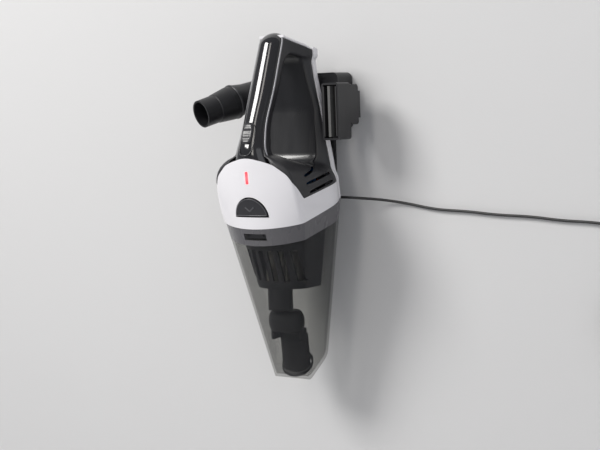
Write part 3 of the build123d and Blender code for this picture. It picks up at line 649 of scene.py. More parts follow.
class Paint(Enum):
    """The finishes of the whole machine."""

    WHITE = Moulding(
        "gloss white moulding", (0.80, 0.79, 0.82), drift=0.02, roughness=0.17, roughness_drift=0.05,
        grain=0.012, wave=0.10, coat=0.35,
    )
    CHARCOAL = Moulding(
        "charcoal satin panel", (0.019, 0.019, 0.022), drift=0.12, roughness=0.44, roughness_drift=0.07,
        grain_scale=1700.0, grain=0.20,
    )
    PIANO = Moulding(
        "piano black inlay", (0.010, 0.010, 0.012), drift=0.1, roughness=0.10, roughness_drift=0.04,
        grain=0.01, wave=0.12, coat=0.6,
    )
    RIM = Moulding("silver grey trim", (0.29, 0.29, 0.31), drift=0.04, roughness=0.32, grain=0.03, metallic=0.15)
    COLLAR = Moulding(
        "grey collar", (0.098, 0.096, 0.105), drift=0.08, roughness=0.27, roughness_drift=0.06, grain=0.03,
        wave=0.06, coat=0.2,
    )
    BLACK = Moulding(
        "black structural plastic", (0.012, 0.012, 0.014), drift=0.15, roughness=0.42, grain_scale=1500.0,
        grain=0.12,
    )
    BUTTON = Moulding(
        "dark button plastic", (0.026, 0.026, 0.030), drift=0.08, roughness=0.33, grain_scale=1600.0,
        grain=0.06, coat=0.1,
    )
    RUBBER = Moulding(
        "black rubber", (0.018, 0.018, 0.019), drift=0.2, roughness=0.62, grain_scale=2200.0, grain=0.25,
    )
    LINING = Moulding(
        "gloss opening lining", (0.008, 0.008, 0.010), drift=0.1, roughness=0.30, roughness_drift=0.08,
        grain=0.02, wave=0.10, coat=0.3,
    )
    TRIM = Moulding("button trim", (0.075, 0.075, 0.082), drift=0.08, roughness=0.3, grain=0.03)
    LEAD = Moulding("lead jacket", (0.020, 0.020, 0.021), drift=0.15, roughness=0.48, grain_scale=2600.0, grain=0.15)
    INNER = Moulding("dusty inner plastic", (0.022, 0.022, 0.025), drift=0.25, roughness=0.5, grain=0.1, dust=0.25)
    CELL = Moulding("cell sleeve", (0.03, 0.13, 0.33), drift=0.1, roughness=0.3, grain=0.03)
    FAN = Moulding("natural nylon", (0.74, 0.72, 0.66), drift=0.05, roughness=0.42, grain=0.06)
    SMOKE = SmokedClear("smoked clear bin")
    LAMP = Lit("red charge lamp")
    STEEL = Metal("drawn steel")
    BRASS = Metal("brass pins", (0.70, 0.50, 0.22), (0.45, 0.32, 0.15), 0.25)
    PAPER = Pleats("pleated filter paper")
    BOARD = Board("green board")
    BRISTLE = Bristle("nylon bristle")
    WALL = Plaster("painted wall")


class Wardrobe:
    """Makes each finish once and hands out its material."""

    def __init__(self) -> None:
        """Start empty."""
        self.made: dict[Paint, bpy.types.Material] = {}

    def __getitem__(self, paint: Paint) -> bpy.types.Material:
        """Material of a finish."""
        if paint not in self.made:
            self.made[paint] = paint.value.make()
        return self.made[paint]

    def dress(self, node: str, paint: Paint) -> None:
        """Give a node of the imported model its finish."""
        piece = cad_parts[node]
        piece.data.materials.clear()
        piece.data.materials.append(self[paint])
        LOG.info("dressed %s in %s", node, paint.value.name)


NODE_PAINTS = {
    Paint.WHITE: ("rear_shell", "front_shell"),
    Paint.CHARCOAL: ("side_panel_left", "side_panel_right"),
    Paint.PIANO: ("handle_insert", "opening_liner"),
    Paint.COLLAR: ("bin_collar",),
    Paint.BUTTON: ("release_button", "switch_slider", "crevice_rim", "strain_relief", "adapter_relief"),
    Paint.BLACK: (
        "wall_plate", "tool_beam", "hanging_tongue", "screw_caps", "charging_cradle", "charging_plug", "brush_peg",
        "crevice_peg", "power_adapter", "crevice_tool", "brush_body", "bristle_holder", "charging_socket",
    ),
    Paint.INNER: (
        "latch_ears", "switch_module", "motor_plate", "fan_housing", "cell_holders", "filter_frame", "filter_cage",
        "float_stub", "inlet_lip", "inlet_duct", "duct_hood",
    ),
    Paint.RUBBER: ("filter_seal", "coil_tie", "brush_lip_pads"),
    Paint.LEAD: ("cord_run", "cord_tail", "cord_coil"),
    Paint.SMOKE: ("dust_bin",),
    Paint.LAMP: ("battery_lamp",),
    Paint.STEEL: ("latch_pin", "latch_spring", "motor_can", "rotor_shaft"),
    Paint.BRASS: ("adapter_pins",),
    Paint.CELL: ("battery_cells",),
    Paint.FAN: ("impeller",),
    Paint.PAPER: ("pleated_filter",),
    Paint.BOARD: ("circuit_board",),
    Paint.BRISTLE: ("brush_bristles",),
}


# ================================================================= studio
@dataclass
class Studio:
    """Camera, wall and soft lights."""

    eye: tuple = (0.802, -1.2186, -0.0032)
    heading: float = 34.3
    tilt: float = 5.2
    roll: float = 2.2
    lens: float = 77.16
    wall_gap: float = 0.0012

    def camera(self) -> None:
        """Aim the camera down its heading and tilt, turned by its roll."""
        heading, tilt, roll = radians(self.heading), radians(self.tilt), radians(self.roll)
        look = Vector((-sin(heading) * cos(tilt), cos(heading) * cos(tilt), -sin(tilt)))
        right = Vector((cos(heading), sin(heading), 0.0))
        up = right.cross(look)
        side = right * cos(roll) - up * sin(roll)
        top = up * cos(roll) + right * sin(roll)
        data = bpy.data.cameras.new("camera")
        data.lens, data.sensor_width = self.lens, 36.0
        data.clip_start, data.clip_end = 0.05, 30.0
        camera = bpy.data.objects.new("camera", data)
        camera.matrix_world = Matrix.Translation(Vector(self.eye)) @ Matrix((side, top, -look)).transposed().to_4x4()
        bpy.context.scene.collection.objects.link(camera)
        bpy.context.scene.camera = camera
        LOG.info("camera placed")

    def wall(self, finish: bpy.types.Material) -> None:
        """Wall behind the bracket that curves into the floor.

        Args:
            finish: The wall's material.
        """
        turn = np.linspace(0, pi / 2, 24)
        sweep = 0.6
        drop = -1.05
        height = np.concatenate([[1.9], drop + sweep - sweep * np.sin(turn), [drop]])
        depth = np.concatenate([[0.0], sweep - sweep * np.cos(turn), [3.4]])
        x = np.linspace(-2.8, 2.8, 15)
        points = np.stack(np.broadcast_arrays(x[None, :], -depth[:, None] + self.wall_gap, height[:, None]), -1)
        mesh = bpy.data.meshes.new("wall")
        mesh.from_pydata(points.reshape(-1, 3).tolist(), [], quads(len(depth), len(x))[:, ::-1].tolist())
        mesh.polygons.foreach_set("use_smooth", np.ones(len(mesh.polygons), bool))
        mesh.materials.append(finish)
        piece = bpy.data.objects.new("wall", mesh)
        bpy.context.scene.collection.objects.link(piece)
        LOG.info("wall placed")

    def lights(self) -> None:
        """Big soft key from the upper left, a weak fill and a strip for long highlights."""
        aim = Vector((0.0, -0.06, -0.12))
        for name, place, size, power, colour in (
            ("key", (-1.05, -1.6, 1.3), (0.9, 0.9), 46.0, (1.0, 0.985, 0.96)),
            ("fill", (1.6, -1.5, 0.2), (1.4, 1.8), 6.0, (0.94, 0.96, 1.0)),
            ("strip", (0.15, -1.9, 0.9), (0.35, 1.5), 7.0, (1.0, 0.96, 0.9)),
        ):
            data = bpy.data.lights.new(name, "AREA")
            data.shape = "RECTANGLE"
            data.size, data.size_y = size
            data.energy = power
            data.color = colour
            light = bpy.data.objects.new(name, data)
            light.location = place
            light.rotation_euler = (aim - Vector(place)).to_track_quat("-Z", "Y").to_euler()
            bpy.context.scene.collection.objects.link(light)
        world = bpy.data.worlds.new("room")
        world.use_nodes = True
        world.node_tree.nodes["Background"].inputs["Color"].default_value = (0.93, 0.95, 1.0, 1.0)
        world.node_tree.nodes["Background"].inputs["Strength"].default_value = 0.30
        bpy.context.scene.world = world
        bpy.context.scene.view_settings.view_transform = "Standard"
        LOG.info("lights placed")


# ================================================================= casing
DOME_ROWS = np.array([
    (160.0, 130.0, 50.2, 106.5, 56.0, 62.0, 42.0, 36.0),
    (190.0, 134.6, 53.0, 118.0, 58.6, 63.0, 43.0, 36.0),
    (214.0, 137.6, 51.5, 125.0, 56.2, 62.0, 42.0, 36.0),
    (232.0, 139.2, 46.5, 128.0, 52.0, 60.0, 41.0, 36.0),
    (246.0, 140.0, 38.5, 130.0, 47.5, 58.0, 41.0, 36.0),
    (262.0, 137.0, 26.0, 128.0, 43.0, 56.0, 38.0, 36.0),
])
HANDLE_ROWS = np.array([
    (234.0, 120.0, 26.0, 19.0), (252.0, 125.0, 19.0, 14.6), (271.0, 120.4, 15.4, 13.2),
    (320.0, 100.6, 15.2, 13.0), (366.0, 82.4, 14.6, 13.0),
])
JOINT_DEPTH, JOINT_HEIGHT, JOINT_SLOPE = 132.0, 171.0, 0.296
SPLIT_DEPTH = 48.0


def joint(depth: Array) -> Array:
    """Height of the sloping joint between body and bin, at a depth."""
    return JOINT_HEIGHT + JOINT_SLOPE * (JOINT_DEPTH - depth)


def section_at(rows: Array, height: Array) -> tuple[Array, ...]:
    """Sizes of a body section at some heights, read along smooth curves through a table.

    Args:
        rows: Table of height and seven sizes.
        height: Heights over the nose.

    Returns:
        Front, corner x and depth, widest x and depth, back x and depth.
    """
    return tuple(hermite(height, rows[:, 0], rows[:, k]) for k in range(1, 8))


def half_section(rows: Array, height: Array, along: Array) -> tuple[Array, Array]:
    """Right half of a body section, from the middle of the front round to the middle of the back.

    The front is an arc through (0, front) and the corner, the flank a straight run to the
    widest place, the rear corner a quarter of an oval, and the back is flat.

    Args:
        rows: Table of sections.
        height: Heights over the nose.
        along: 0 at the front middle, 1 at the corner, 2 at the widest place, 3 at the back
            corner and 4 at the back middle.

    Returns:
        x and depth.
    """
    front, corner_x, corner_d, wide_x, wide_d, back_x, back_d = section_at(rows, height)
    rise = front - corner_d
    radius = (corner_x**2 + rise**2) / (2 * rise)
    sweep = np.arcsin(np.clip(corner_x / radius, -1, 1))
    a, b, c, d = (np.clip(along - k, 0, 1) for k in range(4))
    turn = sweep * a
    x = radius * np.sin(turn)
    depth = front - radius * (1 - np.cos(turn))
    x = x + (wide_x - corner_x) * b
    depth = depth + (wide_d - corner_d) * b
    quarter = c * pi / 2
    x = x - (wide_x - back_x) * (1 - np.cos(quarter))
    depth = depth + (back_d - wide_d) * np.sin(quarter)
    x = x - back_x * d
    return x, depth


def soft_section(rows: Array, height: Array, along: Array, reach: float = 0.08) -> tuple[Array, Array]:
    """The same half section with its corners rounded, as the mean over a short stretch."""
    steps = np.linspace(-reach, reach, 9)
    pairs = []
    for step in steps:
        at = along + step
        x, depth = half_section(rows, height, np.where(at < 0, -at, np.where(at > 4, 8 - at, at)))
        flip = np.where((at < 0) | (at > 4), -1.0, 1.0)
        pairs.append((x * flip, depth))
    return sum(p[0] for p in pairs) / len(steps), sum(p[1] for p in pairs) / len(steps)


def mirrored(grid: Array) -> Array:
    """Right half grid joined with its own mirror image, from the left edge to the right edge."""
    left = grid[:, :0:-1] * np.array([-1.0, 1.0, 1.0])
    return np.concatenate([left, grid], axis=1)


def thickened(outer: Array, wall: float, wrap: bool = False) -> Array:
    """Inner grid, a wall's thickness in millimetres inside the outer one."""
    normals = grid_normals(outer, wrap)
    middle = outer.reshape(-1, 3).mean(axis=0)
    outward = np.sum(normals * (outer - middle), axis=-1).mean()
    return outer - normals * (np.sign(outward) * wall * MM)


@dataclass
class FrontDome:
    """White front moulding: the dome between the joint and the arc, back to the rear seam."""

    wall: float = 2.2
    seam: tuple = (
        (48.0, 216.5), (57.0, 214.5), (112.5, 202.5), (126.0, 220.5),
        (130.2, 230.0), (134.5, 238.5), (138.9, 244.0), (140.0, 246.3),
    )
    columns: int = 110
    rows: int = 46

    def seam_height(self, depth: Array) -> Array:
        """Height of the seam with the dark panels, at a depth."""
        at, height = np.array(self.seam).T
        return np.interp(depth, at, height)

    def outer(self) -> Array:
        """Outside grid: each column runs from the joint up to the seam at its own depth."""
        along = np.concatenate([np.linspace(0, 1, 60), np.linspace(1, 2.5, 52)[1:]])
        low, high = np.full_like(along, 176.0), np.full_like(along, 210.0)
        for _ in range(30):
            low = joint(soft_section(DOME_ROWS, low, along)[1])
            x, depth = soft_section(DOME_ROWS, high, along)
            high = 0.5 * high + 0.5 * self.seam_height(depth)
        keep = depth >= SPLIT_DEPTH
        along, low, high = along[keep], low[keep], high[keep]
        share = np.linspace(0, 1, self.rows)[:, None]
        height = low + (high - low) * share
        x, depth = soft_section(DOME_ROWS, height, np.broadcast_to(along, height.shape))
        return mirrored(to_row(x, depth, height))

    def build(self, wardrobe: Wardrobe) -> None:
        """Make the dome and cut the windows of the button and the lamp."""
        outer = self.outer()
        piece = Piece("front_dome")
        piece.add(*thick_sheet(outer, thickened(outer, self.wall)))
        dome = piece.build(wardrobe[Paint.WHITE], "vacuum", smooth=40.0)
        cutter = Piece("dome_cutter")
        cutter.add(*half_moon_prism(0.7, 108.0, 150.0))
        lamp = round_outline(1.75, 6.5, 8.0) + np.array([0.0, 225.75])
        cutter.add(*capped(np.stack([to_row(lamp[:, 0], d, lamp[:, 1]) for d in (110.0, 150.0)])))
        cut(dome, cutter, 40.0)
        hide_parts("front_shell")
        LOG.info("front dome built")


def half_moon_outline(grow: float = 0.0, count: int = 60) -> tuple[Array, Array]:
    """Half-moon: an arc through its two feet and its crown, closed by a flat base.

    Args:
        grow: Distance by which the outline is pushed out.
        count: Points along the arc.

    Returns:
        x and height round the outline.
    """
    half, low, high = 20.9 + grow, 184.7 - grow, 204.8 + grow
    rise = high - low
    radius = (half**2 + rise**2) / (2 * rise)
    sweep = np.arcsin(min(half / radius, 1.0)) if rise < radius else pi - np.arcsin(half / radius)
    turn = np.linspace(-sweep, sweep, count)
    x = np.concatenate([radius * np.sin(turn), np.linspace(half, -half, 26)[1:-1]])
    height = np.concatenate([high - radius * (1 - np.cos(turn)), np.full(24, low)])
    return x, height


def half_moon_prism(grow: float, near: float, far: float) -> tuple[Array, list]:
    """Half-moon run out from the wall between two depths."""
    x, height = half_moon_outline(grow)
    return capped(np.stack([to_row(x, depth, height) for depth in (near, far)]))


def cut(piece: bpy.types.Object, cutter: Piece, smooth: float) -> None:
    """Take a closed cutter away from a piece and leave only the result in its mesh.

    Args:
        piece: The object that is cut.
        cutter: Closed parts that are taken away.
        smooth: Edges sharper than this many degrees stay crisp.
    """
    mesh = bpy.data.meshes.new(cutter.name)
    faces = [face for block in cutter.faces for face in block.tolist()]
    mesh.from_pydata(np.concatenate(cutter.points).tolist(), [], faces)
    knife = bpy.data.objects.new(cutter.name, mesh)
    bpy.context.scene.collection.objects.link(knife)
    modifier = piece.modifiers.new("cut", "BOOLEAN")
    modifier.operation, modifier.solver, modifier.object = "DIFFERENCE", "EXACT", knife
    shaped = bpy.data.meshes.new_from_object(piece.evaluated_get(bpy.context.evaluated_depsgraph_get()))
    piece.modifiers.clear()
    piece.data = shaped
    shaped.name = piece.name
    shaped.polygons.foreach_set("use_smooth", np.ones(len(shaped.polygons), bool))
    shaped.set_sharp_from_angle(angle=radians(smooth))
    bpy.data.objects.remove(knife)


def soft_max(*values: Array, blend: float = 1.6) -> Array:
    """Largest of several arrays, rounded where two are close: blend x log of the sum of exponents."""
    stack = np.stack(np.broadcast_arrays(*values))
    top = stack.max(axis=0)
    return top + blend * np.log(np.exp((stack - top) / blend).sum(axis=0))


def rounded_polygon(corners: Array, radii: Array, steps: int = 12) -> Array:
    """Closed outline whose corners are arcs that touch both of their sides.

    Args:
        corners: Corner points of shape n, 2.
        radii: Radius of each corner.
        steps: Points along each arc.

    Returns:
        Points of shape n x steps, 2.
    """
    corners = np.asarray(corners, float)
    back = unit(np.roll(corners, 1, axis=0) - corners)
    on = unit(np.roll(corners, -1, axis=0) - corners)
    half = np.arccos(np.clip(np.sum(back * on, axis=1), -1, 1)) / 2
    centre = corners + unit(back + on) * (np.asarray(radii) / np.sin(half))[:, None]
    reach = (np.asarray(radii) / np.tan(half))[:, None]
    first, last = corners + back * reach - centre, corners + on * reach - centre
    start = np.arctan2(first[:, 1], first[:, 0])
    turn = np.arctan2(last[:, 1], last[:, 0]) - start
    turn = (turn + pi) % (2 * pi) - pi
    angle = start[:, None] + turn[:, None] * np.linspace(0, 1, steps)
    ring = centre[:, None] + np.asarray(radii)[:, None, None] * np.stack([np.cos(angle), np.sin(angle)], -1)
    return ring.reshape(-1, 2)


def ray_reach(outline: Array, centre: Array, angles: Array) -> Array:
    """Distance from a centre to a closed outline along rays: the nearest crossing beyond the centre.

    Args:
        outline: Corner points of shape n, 2.
        centre: Start of the rays.
        angles: Directions.

    Returns:
        One distance for each ray.
    """
    a = outline - centre
    b = np.roll(a, -1, axis=0)
    ray = np.stack([np.cos(angles), np.sin(angles)], -1)[:, None]
    edge = b - a
    cross = ray[..., 0] * edge[:, 1] - ray[..., 1] * edge[:, 0]
    safe = np.where(np.abs(cross) < 1e-9, 1e-9, cross)
    reach = (a[:, 0] * edge[:, 1] - a[:, 1] * edge[:, 0]) / safe
    share = (a[:, 0] * ray[..., 1] - a[:, 1] * ray[..., 0]) / safe
    good = (reach > 0) & (share >= -1e-6) & (share <= 1 + 1e-6)
    return np.where(good, reach, -np.inf).max(axis=1)


@dataclass
class Opening:
    """Finger opening between grip and spine, seen from the side."""

    corners: tuple = ((78.0, 356.0), (57.0, 350.0), (53.5, 296.0), (60.0, 231.0), (111.0, 247.0))
    radii: tuple = (7.0, 9.0, 60.0, 14.0, 12.0)
    centre: tuple = (78.0, 284.0)

    def outline(self) -> Array:
        """Rounded outline as depth and height."""
        return rounded_polygon(self.corners, self.radii)

    def reach(self, angles: Array) -> Array:
        """Distance from the opening's centre to its edge."""
        return ray_reach(self.outline(), np.array(self.centre), angles)


def grip_sizes(height: Array) -> tuple[Array, Array, Array]:
    """Centre depth, half-width and half-depth of the grip at some heights."""
    return tuple(hermite(height, HANDLE_ROWS[:, 0], HANDLE_ROWS[:, k]) for k in (1, 2, 3))


def flank(depth: Array, height: Array) -> Array:
    """Half-width of the casing in its side view: the rounded largest of dome, spine, grip and bridge.

    Args:
        depth: Distances out from the wall.
        height: Heights over the nose.

    Returns:
        Half-widths in millimetres.
    """
    front, corner_x, corner_d, wide_x, wide_d, back_x, back_d = section_at(DOME_ROWS, height)
    rise = front - corner_d
    radius = (corner_x**2 + rise**2) / (2 * rise)
    bow = np.sqrt(np.clip(radius**2 - (depth - front + radius) ** 2, 0.0, None))
    side = wide_x + (corner_x - wide_x) * (depth - wide_d) / (corner_d - wide_d)
    rear = back_x + (wide_x - back_x) * np.sqrt(np.clip(1 - ((wide_d - depth) / (wide_d - back_d)) ** 2, 0, 1))
    dome = np.where(depth > corner_d, bow, np.where(depth > wide_d, side, rear))
    shoulder = np.interp(depth, (20.0, 60.0, 112.0, 170.0), (236.0, 243.0, 250.0, 252.0))
    under = np.clip((shoulder - height) / 26.0, 0, 1)
    dome = dome * (1 - (1 - under) ** 2.6) ** (1 / 2.6)
    spine = np.interp(height, (205.0, 238.0, 264.0, 295.0, 329.0, 366.0), (50.0, 46.0, 41.0, 36.0, 29.0, 24.0))
    spine = spine - np.clip(depth - 51.0, 0, None) * 0.85
    centre, half_width, half_depth = grip_sizes(height)
    inside = np.clip(1 - np.abs((depth - centre) / half_depth) ** 3, 0, 1) ** (1 / 3)
    bridge = 14.4 + (84.0 - depth) * 0.378
    bridge = bridge * np.clip((height - 338.0) / 14.0, 0, 1) ** 0.5
    return soft_max(dome, spine, half_width * inside, bridge, np.full_like(depth, 3.0))


@dataclass
class SidePanels:
    """Charcoal side panels: a ring round the finger opening, worked out as a half-width over the side view."""

    opening: Opening
    edge: tuple = (
        (48.0, 216.2), (57.0, 214.2), (112.5, 202.1), (126.0, 220.1), (130.2, 229.6), (133.0, 235.5),
        (133.0, 241.0), (130.4, 252.0), (123.4, 271.0), (103.6, 320.0), (85.4, 366.0), (83.0, 371.4), (48.0, 359.3),
    )
    roll: float = 3.2
    wall: float = 2.0
    rows: int = 40
    vents: tuple = (((105.0, 225.5), (71.0, 235.2)), ((104.7, 217.4), (58.8, 226.5)), ((101.6, 208.2), (58.4, 218.0)))
    vent_half: float = 1.5
    soften: float = 9.0
    soften_toward: float = -105.0
    roll_depth: float = 0.8
    roll_room: float = 0.85

    def grid(self) -> Array:
        """Outside grid of the right panel: rows run from the opening to the outer edge, columns go round."""
        centre = np.array(self.opening.centre)
        edge = np.array(self.edge)
        corner = np.arctan2(edge[:, 1] - centre[1], edge[:, 0] - centre[0])
        angles = np.sort(np.concatenate([np.linspace(-pi, pi, 300, endpoint=False), corner]))
        inner, outer = self.opening.reach(angles), ray_reach(edge, centre, angles)
        share = np.linspace(0, 1, self.rows)[:, None] ** 1.35
        reach = inner + (outer - inner) * share
        depth, height = centre[0] + reach * np.cos(angles), centre[1] + reach * np.sin(angles)
        x = flank(depth, height)
        roll = self.roll + self.soften * np.clip(np.cos(angles - radians(self.soften_toward)), 0, 1) ** 2
        near = np.clip(1 - (reach - inner) / np.minimum(roll, self.roll_room * (outer - inner)), 0, 1)
        x = x - roll * self.roll_depth * (1 - np.sqrt(1 - near**2))
        groove = np.clip(1 - (outer - reach) / 0.8, 0, 1)
        return to_row(x - 0.45 * groove, depth, height)

    def build(self, wardrobe: Wardrobe) -> None:
        """Make both panels and cut their three slanting vents."""
        right = self.grid()
        inward = right - np.array([self.wall * MM, 0.0, 0.0])
        for side, name in ((1.0, "right"), (-1.0, "left")):
            mirror = np.array([side, 1.0, 1.0])
            piece = Piece(f"flank_panel_{name}")
            piece.add(*tube_wall(right * mirror, inward * mirror))
            panel = piece.build(wardrobe[Paint.CHARCOAL], "vacuum", smooth=38.0)
            slots = Piece("vent_cutter")
            for front, rear in self.vents:
                run, rise = rear[0] - front[0], rear[1] - front[1]
                reach = float(np.hypot(run, rise))
                slot = round_outline(reach / 2, self.vent_half, 5.0)
                across = (front[0] + rear[0]) / 2 + (slot[:, 0] * run - slot[:, 1] * rise) / reach
                upward = (front[1] + rear[1]) / 2 + (slot[:, 0] * rise + slot[:, 1] * run) / reach
                slots.add(*capped(np.stack([to_row(side * x, across, upward) for x in (30.0, 70.0)])))
            cut(panel, slots, 38.0)
            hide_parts(f"side_panel_{name}")
        LOG.info("flank panels built")


@dataclass
class RearCasing:
    """White rear moulding behind the panels and over the sloping top, with its rear openings.

    An opening is given by its left and right x and its lower and upper height.
    """

    wall: float = 2.0
    back: float = 36.0
    corner: tuple = (7.0, 8.0)
    top: tuple = (48.0, 362.5)
    slope: float = 0.3526
    top_gap: float = 0.6
    proud: float = 1.2
    proud_from: float = 214.0
    proud_over: float = 8.0
    rows: int = 90
    openings: tuple = ((-7.0, 7.0, 294.0, 317.5), (-12.2, 12.2, 278.6, 294.8), (-9.6, 9.6, 205.4, 226.6))
    cut_depths: tuple = (26.0, 41.0)
    strip_depths: tuple = (40.0, 84.0)
    strip_half: float = 25.0
    strip_overlap: float = 0.2
    strip_thickness: float = 3.0

    def top_height(self, depth: Array) -> Array:
        """Height of the sloping top: the height at its rear edge + slope x distance in front of it."""
        return self.top[1] + self.slope * (depth - self.top[0])

    def grid(self) -> Array:
        """Outside grid: rows rise from the joint, columns run round the back from the left to the right.

        The corner is a quarter ellipse, so x falls by its width x (1 - cos) while depth falls by its depth x sin.
        """
        round_x, round_d = self.corner
        turn = np.linspace(0, pi / 2, 9)
        front = self.back + round_d
        depth = np.concatenate([[SPLIT_DEPTH, 46.0], self.back + round_d * (1 - np.sin(turn)), np.full(12, self.back)])
        share = np.linspace(0, 1, self.rows)[:, None]
        low = joint(depth)
        height = low + (self.top_height(depth) - self.top_gap - low) * share
        edge = flank(np.maximum(depth, front) + 0 * height, height)
        pull = np.concatenate([[0.0, 0.0], round_x * (1 - np.cos(turn)), np.full(12, round_x)])
        middle = np.concatenate([np.ones(11), np.linspace(1, 0, 13)[1:]])
        x = (edge - pull) * middle
        x = x + self.proud * middle * np.clip((height - self.proud_from) / self.proud_over, 0, 1)
        left, right = (to_row(side * x, depth + 0 * height, height) for side in (-1, 1))
        return np.concatenate([left, right[:, -2::-1]], axis=1)

    def strip_loops(self) -> Array:
        """Loops across the casing, one behind the other, of the strip laid under the sloping top."""
        half_thick = self.strip_thickness / 2
        loops = []
        for place in np.linspace(*self.strip_depths, 30):
            top = self.top_height(place)
            half = float(flank(np.array(place), np.array(top) - self.strip_thickness))
            loop = round_outline(min(half, self.strip_half) + self.strip_overlap, half_thick, 7.0, 40)
            loops.append(to_row(loop[:, 0], place, top - half_thick + loop[:, 1]))
        return np.stack(loops)

    def build(self, wardrobe: Wardrobe) -> None:
        """Make the rear wall, cut its openings one at a time and lay the strip over the top."""
        outer = self.grid()
        piece = Piece("rear_casing")
        piece.add(*thick_sheet(outer, thickened(outer, self.wall)))
        casing = piece.build(wardrobe[Paint.WHITE], "vacuum", smooth=40.0)
        for left, right, bottom, upper in self.openings:
            hole = Piece("rear_cutter")
            loop = round_outline((right - left) / 2, (upper - bottom) / 2, 12.0, 40)
            height = (upper + bottom) / 2 + loop[:, 1]
            hole.add(*capped(np.stack([to_row(loop[:, 0], depth, height) for depth in self.cut_depths])))
            cut(casing, hole, 40.0)
        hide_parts("rear_shell")
        piece = Piece("top_strip")
        piece.add(*capped(self.strip_loops()))
        strip = piece.build(wardrobe[Paint.WHITE], "vacuum", smooth=40.0)
        LOG.info("rear casing and top strip built")


@dataclass
class OpeningLiner:
    """Gloss black lining of the finger opening, run across between the panels."""

    opening: Opening
    wall: float = 1.7
    columns: int = 41

    def build(self, wardrobe: Wardrobe) -> None:
        """Carry the opening's outline across and dish its middle slightly."""
        outline = self.opening.outline()
        step = np.roll(outline, -1, axis=0) - np.roll(outline, 1, axis=0)
        normal = unit(np.stack([step[:, 1], -step[:, 0]], -1))
        centre = np.array(self.opening.centre)
        normal *= np.sign(np.sum(normal * (outline - centre), axis=1, keepdims=True))
        reach = flank(outline[:, 0], outline[:, 1]) - 3.0
        share = np.linspace(-1, 1, self.columns)
        x = reach[None, :] * share[:, None]
        dish = 1.6 * (1 - share**2)[:, None]
        near = outline[None] + normal[None] * dish[..., None]
        far = near + normal[None] * self.wall
        piece = Piece("opening_lining")
        piece.add(*tube_wall(to_row(x, near[..., 0], near[..., 1]), to_row(x, far[..., 0], far[..., 1])))
        lining = piece.build(wardrobe[Paint.LINING], "vacuum", smooth=40.0)
        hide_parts("opening_liner")
        LOG.info("opening lining built")


@dataclass
class Grip:
    """Gloss black front of the grip, its round cap, and the two pale rims beside it."""

    rim_angle: float = 78.0
    low: float = 228.0
    high: float = 366.0
    top: float = 378.0
    wall: float = 2.0

    def ring(self, height: Array, angle: Array, outset: float = 0.0) -> Array:
        """Points of the oval grip: x is half-width x sine, depth is centre + half-depth x cosine."""
        centre, half_width, half_depth = grip_sizes(height)
        sunk = np.clip((242.0 - height) / 10.0, 0, 1) * 1.6
        x = (half_width + outset - sunk) * np.sin(angle)
        return to_row(x, centre + (half_depth + outset - sunk) * np.cos(angle), height)

    def build(self, wardrobe: Wardrobe) -> None:
        """Make the front skin, the cap and the rims."""
        side = radians(self.rim_angle)
        angle = np.linspace(-side, side, 65)[None, :]
        height = np.linspace(self.low, self.high, 110)[:, None]
        skin = Piece("grip_inlay")
        outer = self.ring(height, angle)
        skin.add(*thick_sheet(outer, self.ring(height, angle, -self.wall)))
        rise = np.linspace(0, pi / 2 - 0.04, 22)[:, None]
        turn = np.linspace(0, 2 * pi, 72, endpoint=False)[None, :]
        centre, half_width, half_depth = (float(k) for k in grip_sizes(np.array(self.high)))
        lean = -4.5 * np.sin(rise) * (self.top - self.high) / 12.0
        x = half_width * np.cos(rise) * np.sin(turn)
        depth = centre + lean + half_depth * np.cos(rise) * np.cos(turn)
        tall = self.high + (self.top - self.high) * np.sin(rise) + 0 * turn
        skirt = to_row(half_width * np.sin(turn), centre + 3.6 + half_depth * np.cos(turn), self.high - 9.0 + 0 * turn)
        skin.add(*capped(np.concatenate([skirt, to_row(x, depth, tall)])))
        inlay = skin.build(wardrobe[Paint.PIANO], "vacuum", smooth=50.0)
        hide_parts("handle_insert")
        rims = Piece("grip_rims")
        levels = np.concatenate([np.linspace(231.0, self.high, 90), np.linspace(self.high, 372.0, 12)[1:]])
        for mirror in (-1.0, 1.0):
            path = self.ring(np.minimum(levels, self.high), np.full(len(levels), mirror * side), 0.35)
            over = np.clip(levels - self.high, 0, None)
            path = path + to_row(-mirror * 0.09 * over**1.5, -0.45 * over, over + SCREW_HEIGHT)
            rims.add(*swept(path, round_outline(0.95, 0.95, 2.0, 14) * MM, np.array([0.0, -1.0, 0.2])))
        rim = rims.build(wardrobe[Paint.RIM], "vacuum", smooth=50.0)
        LOG.info("grip built")


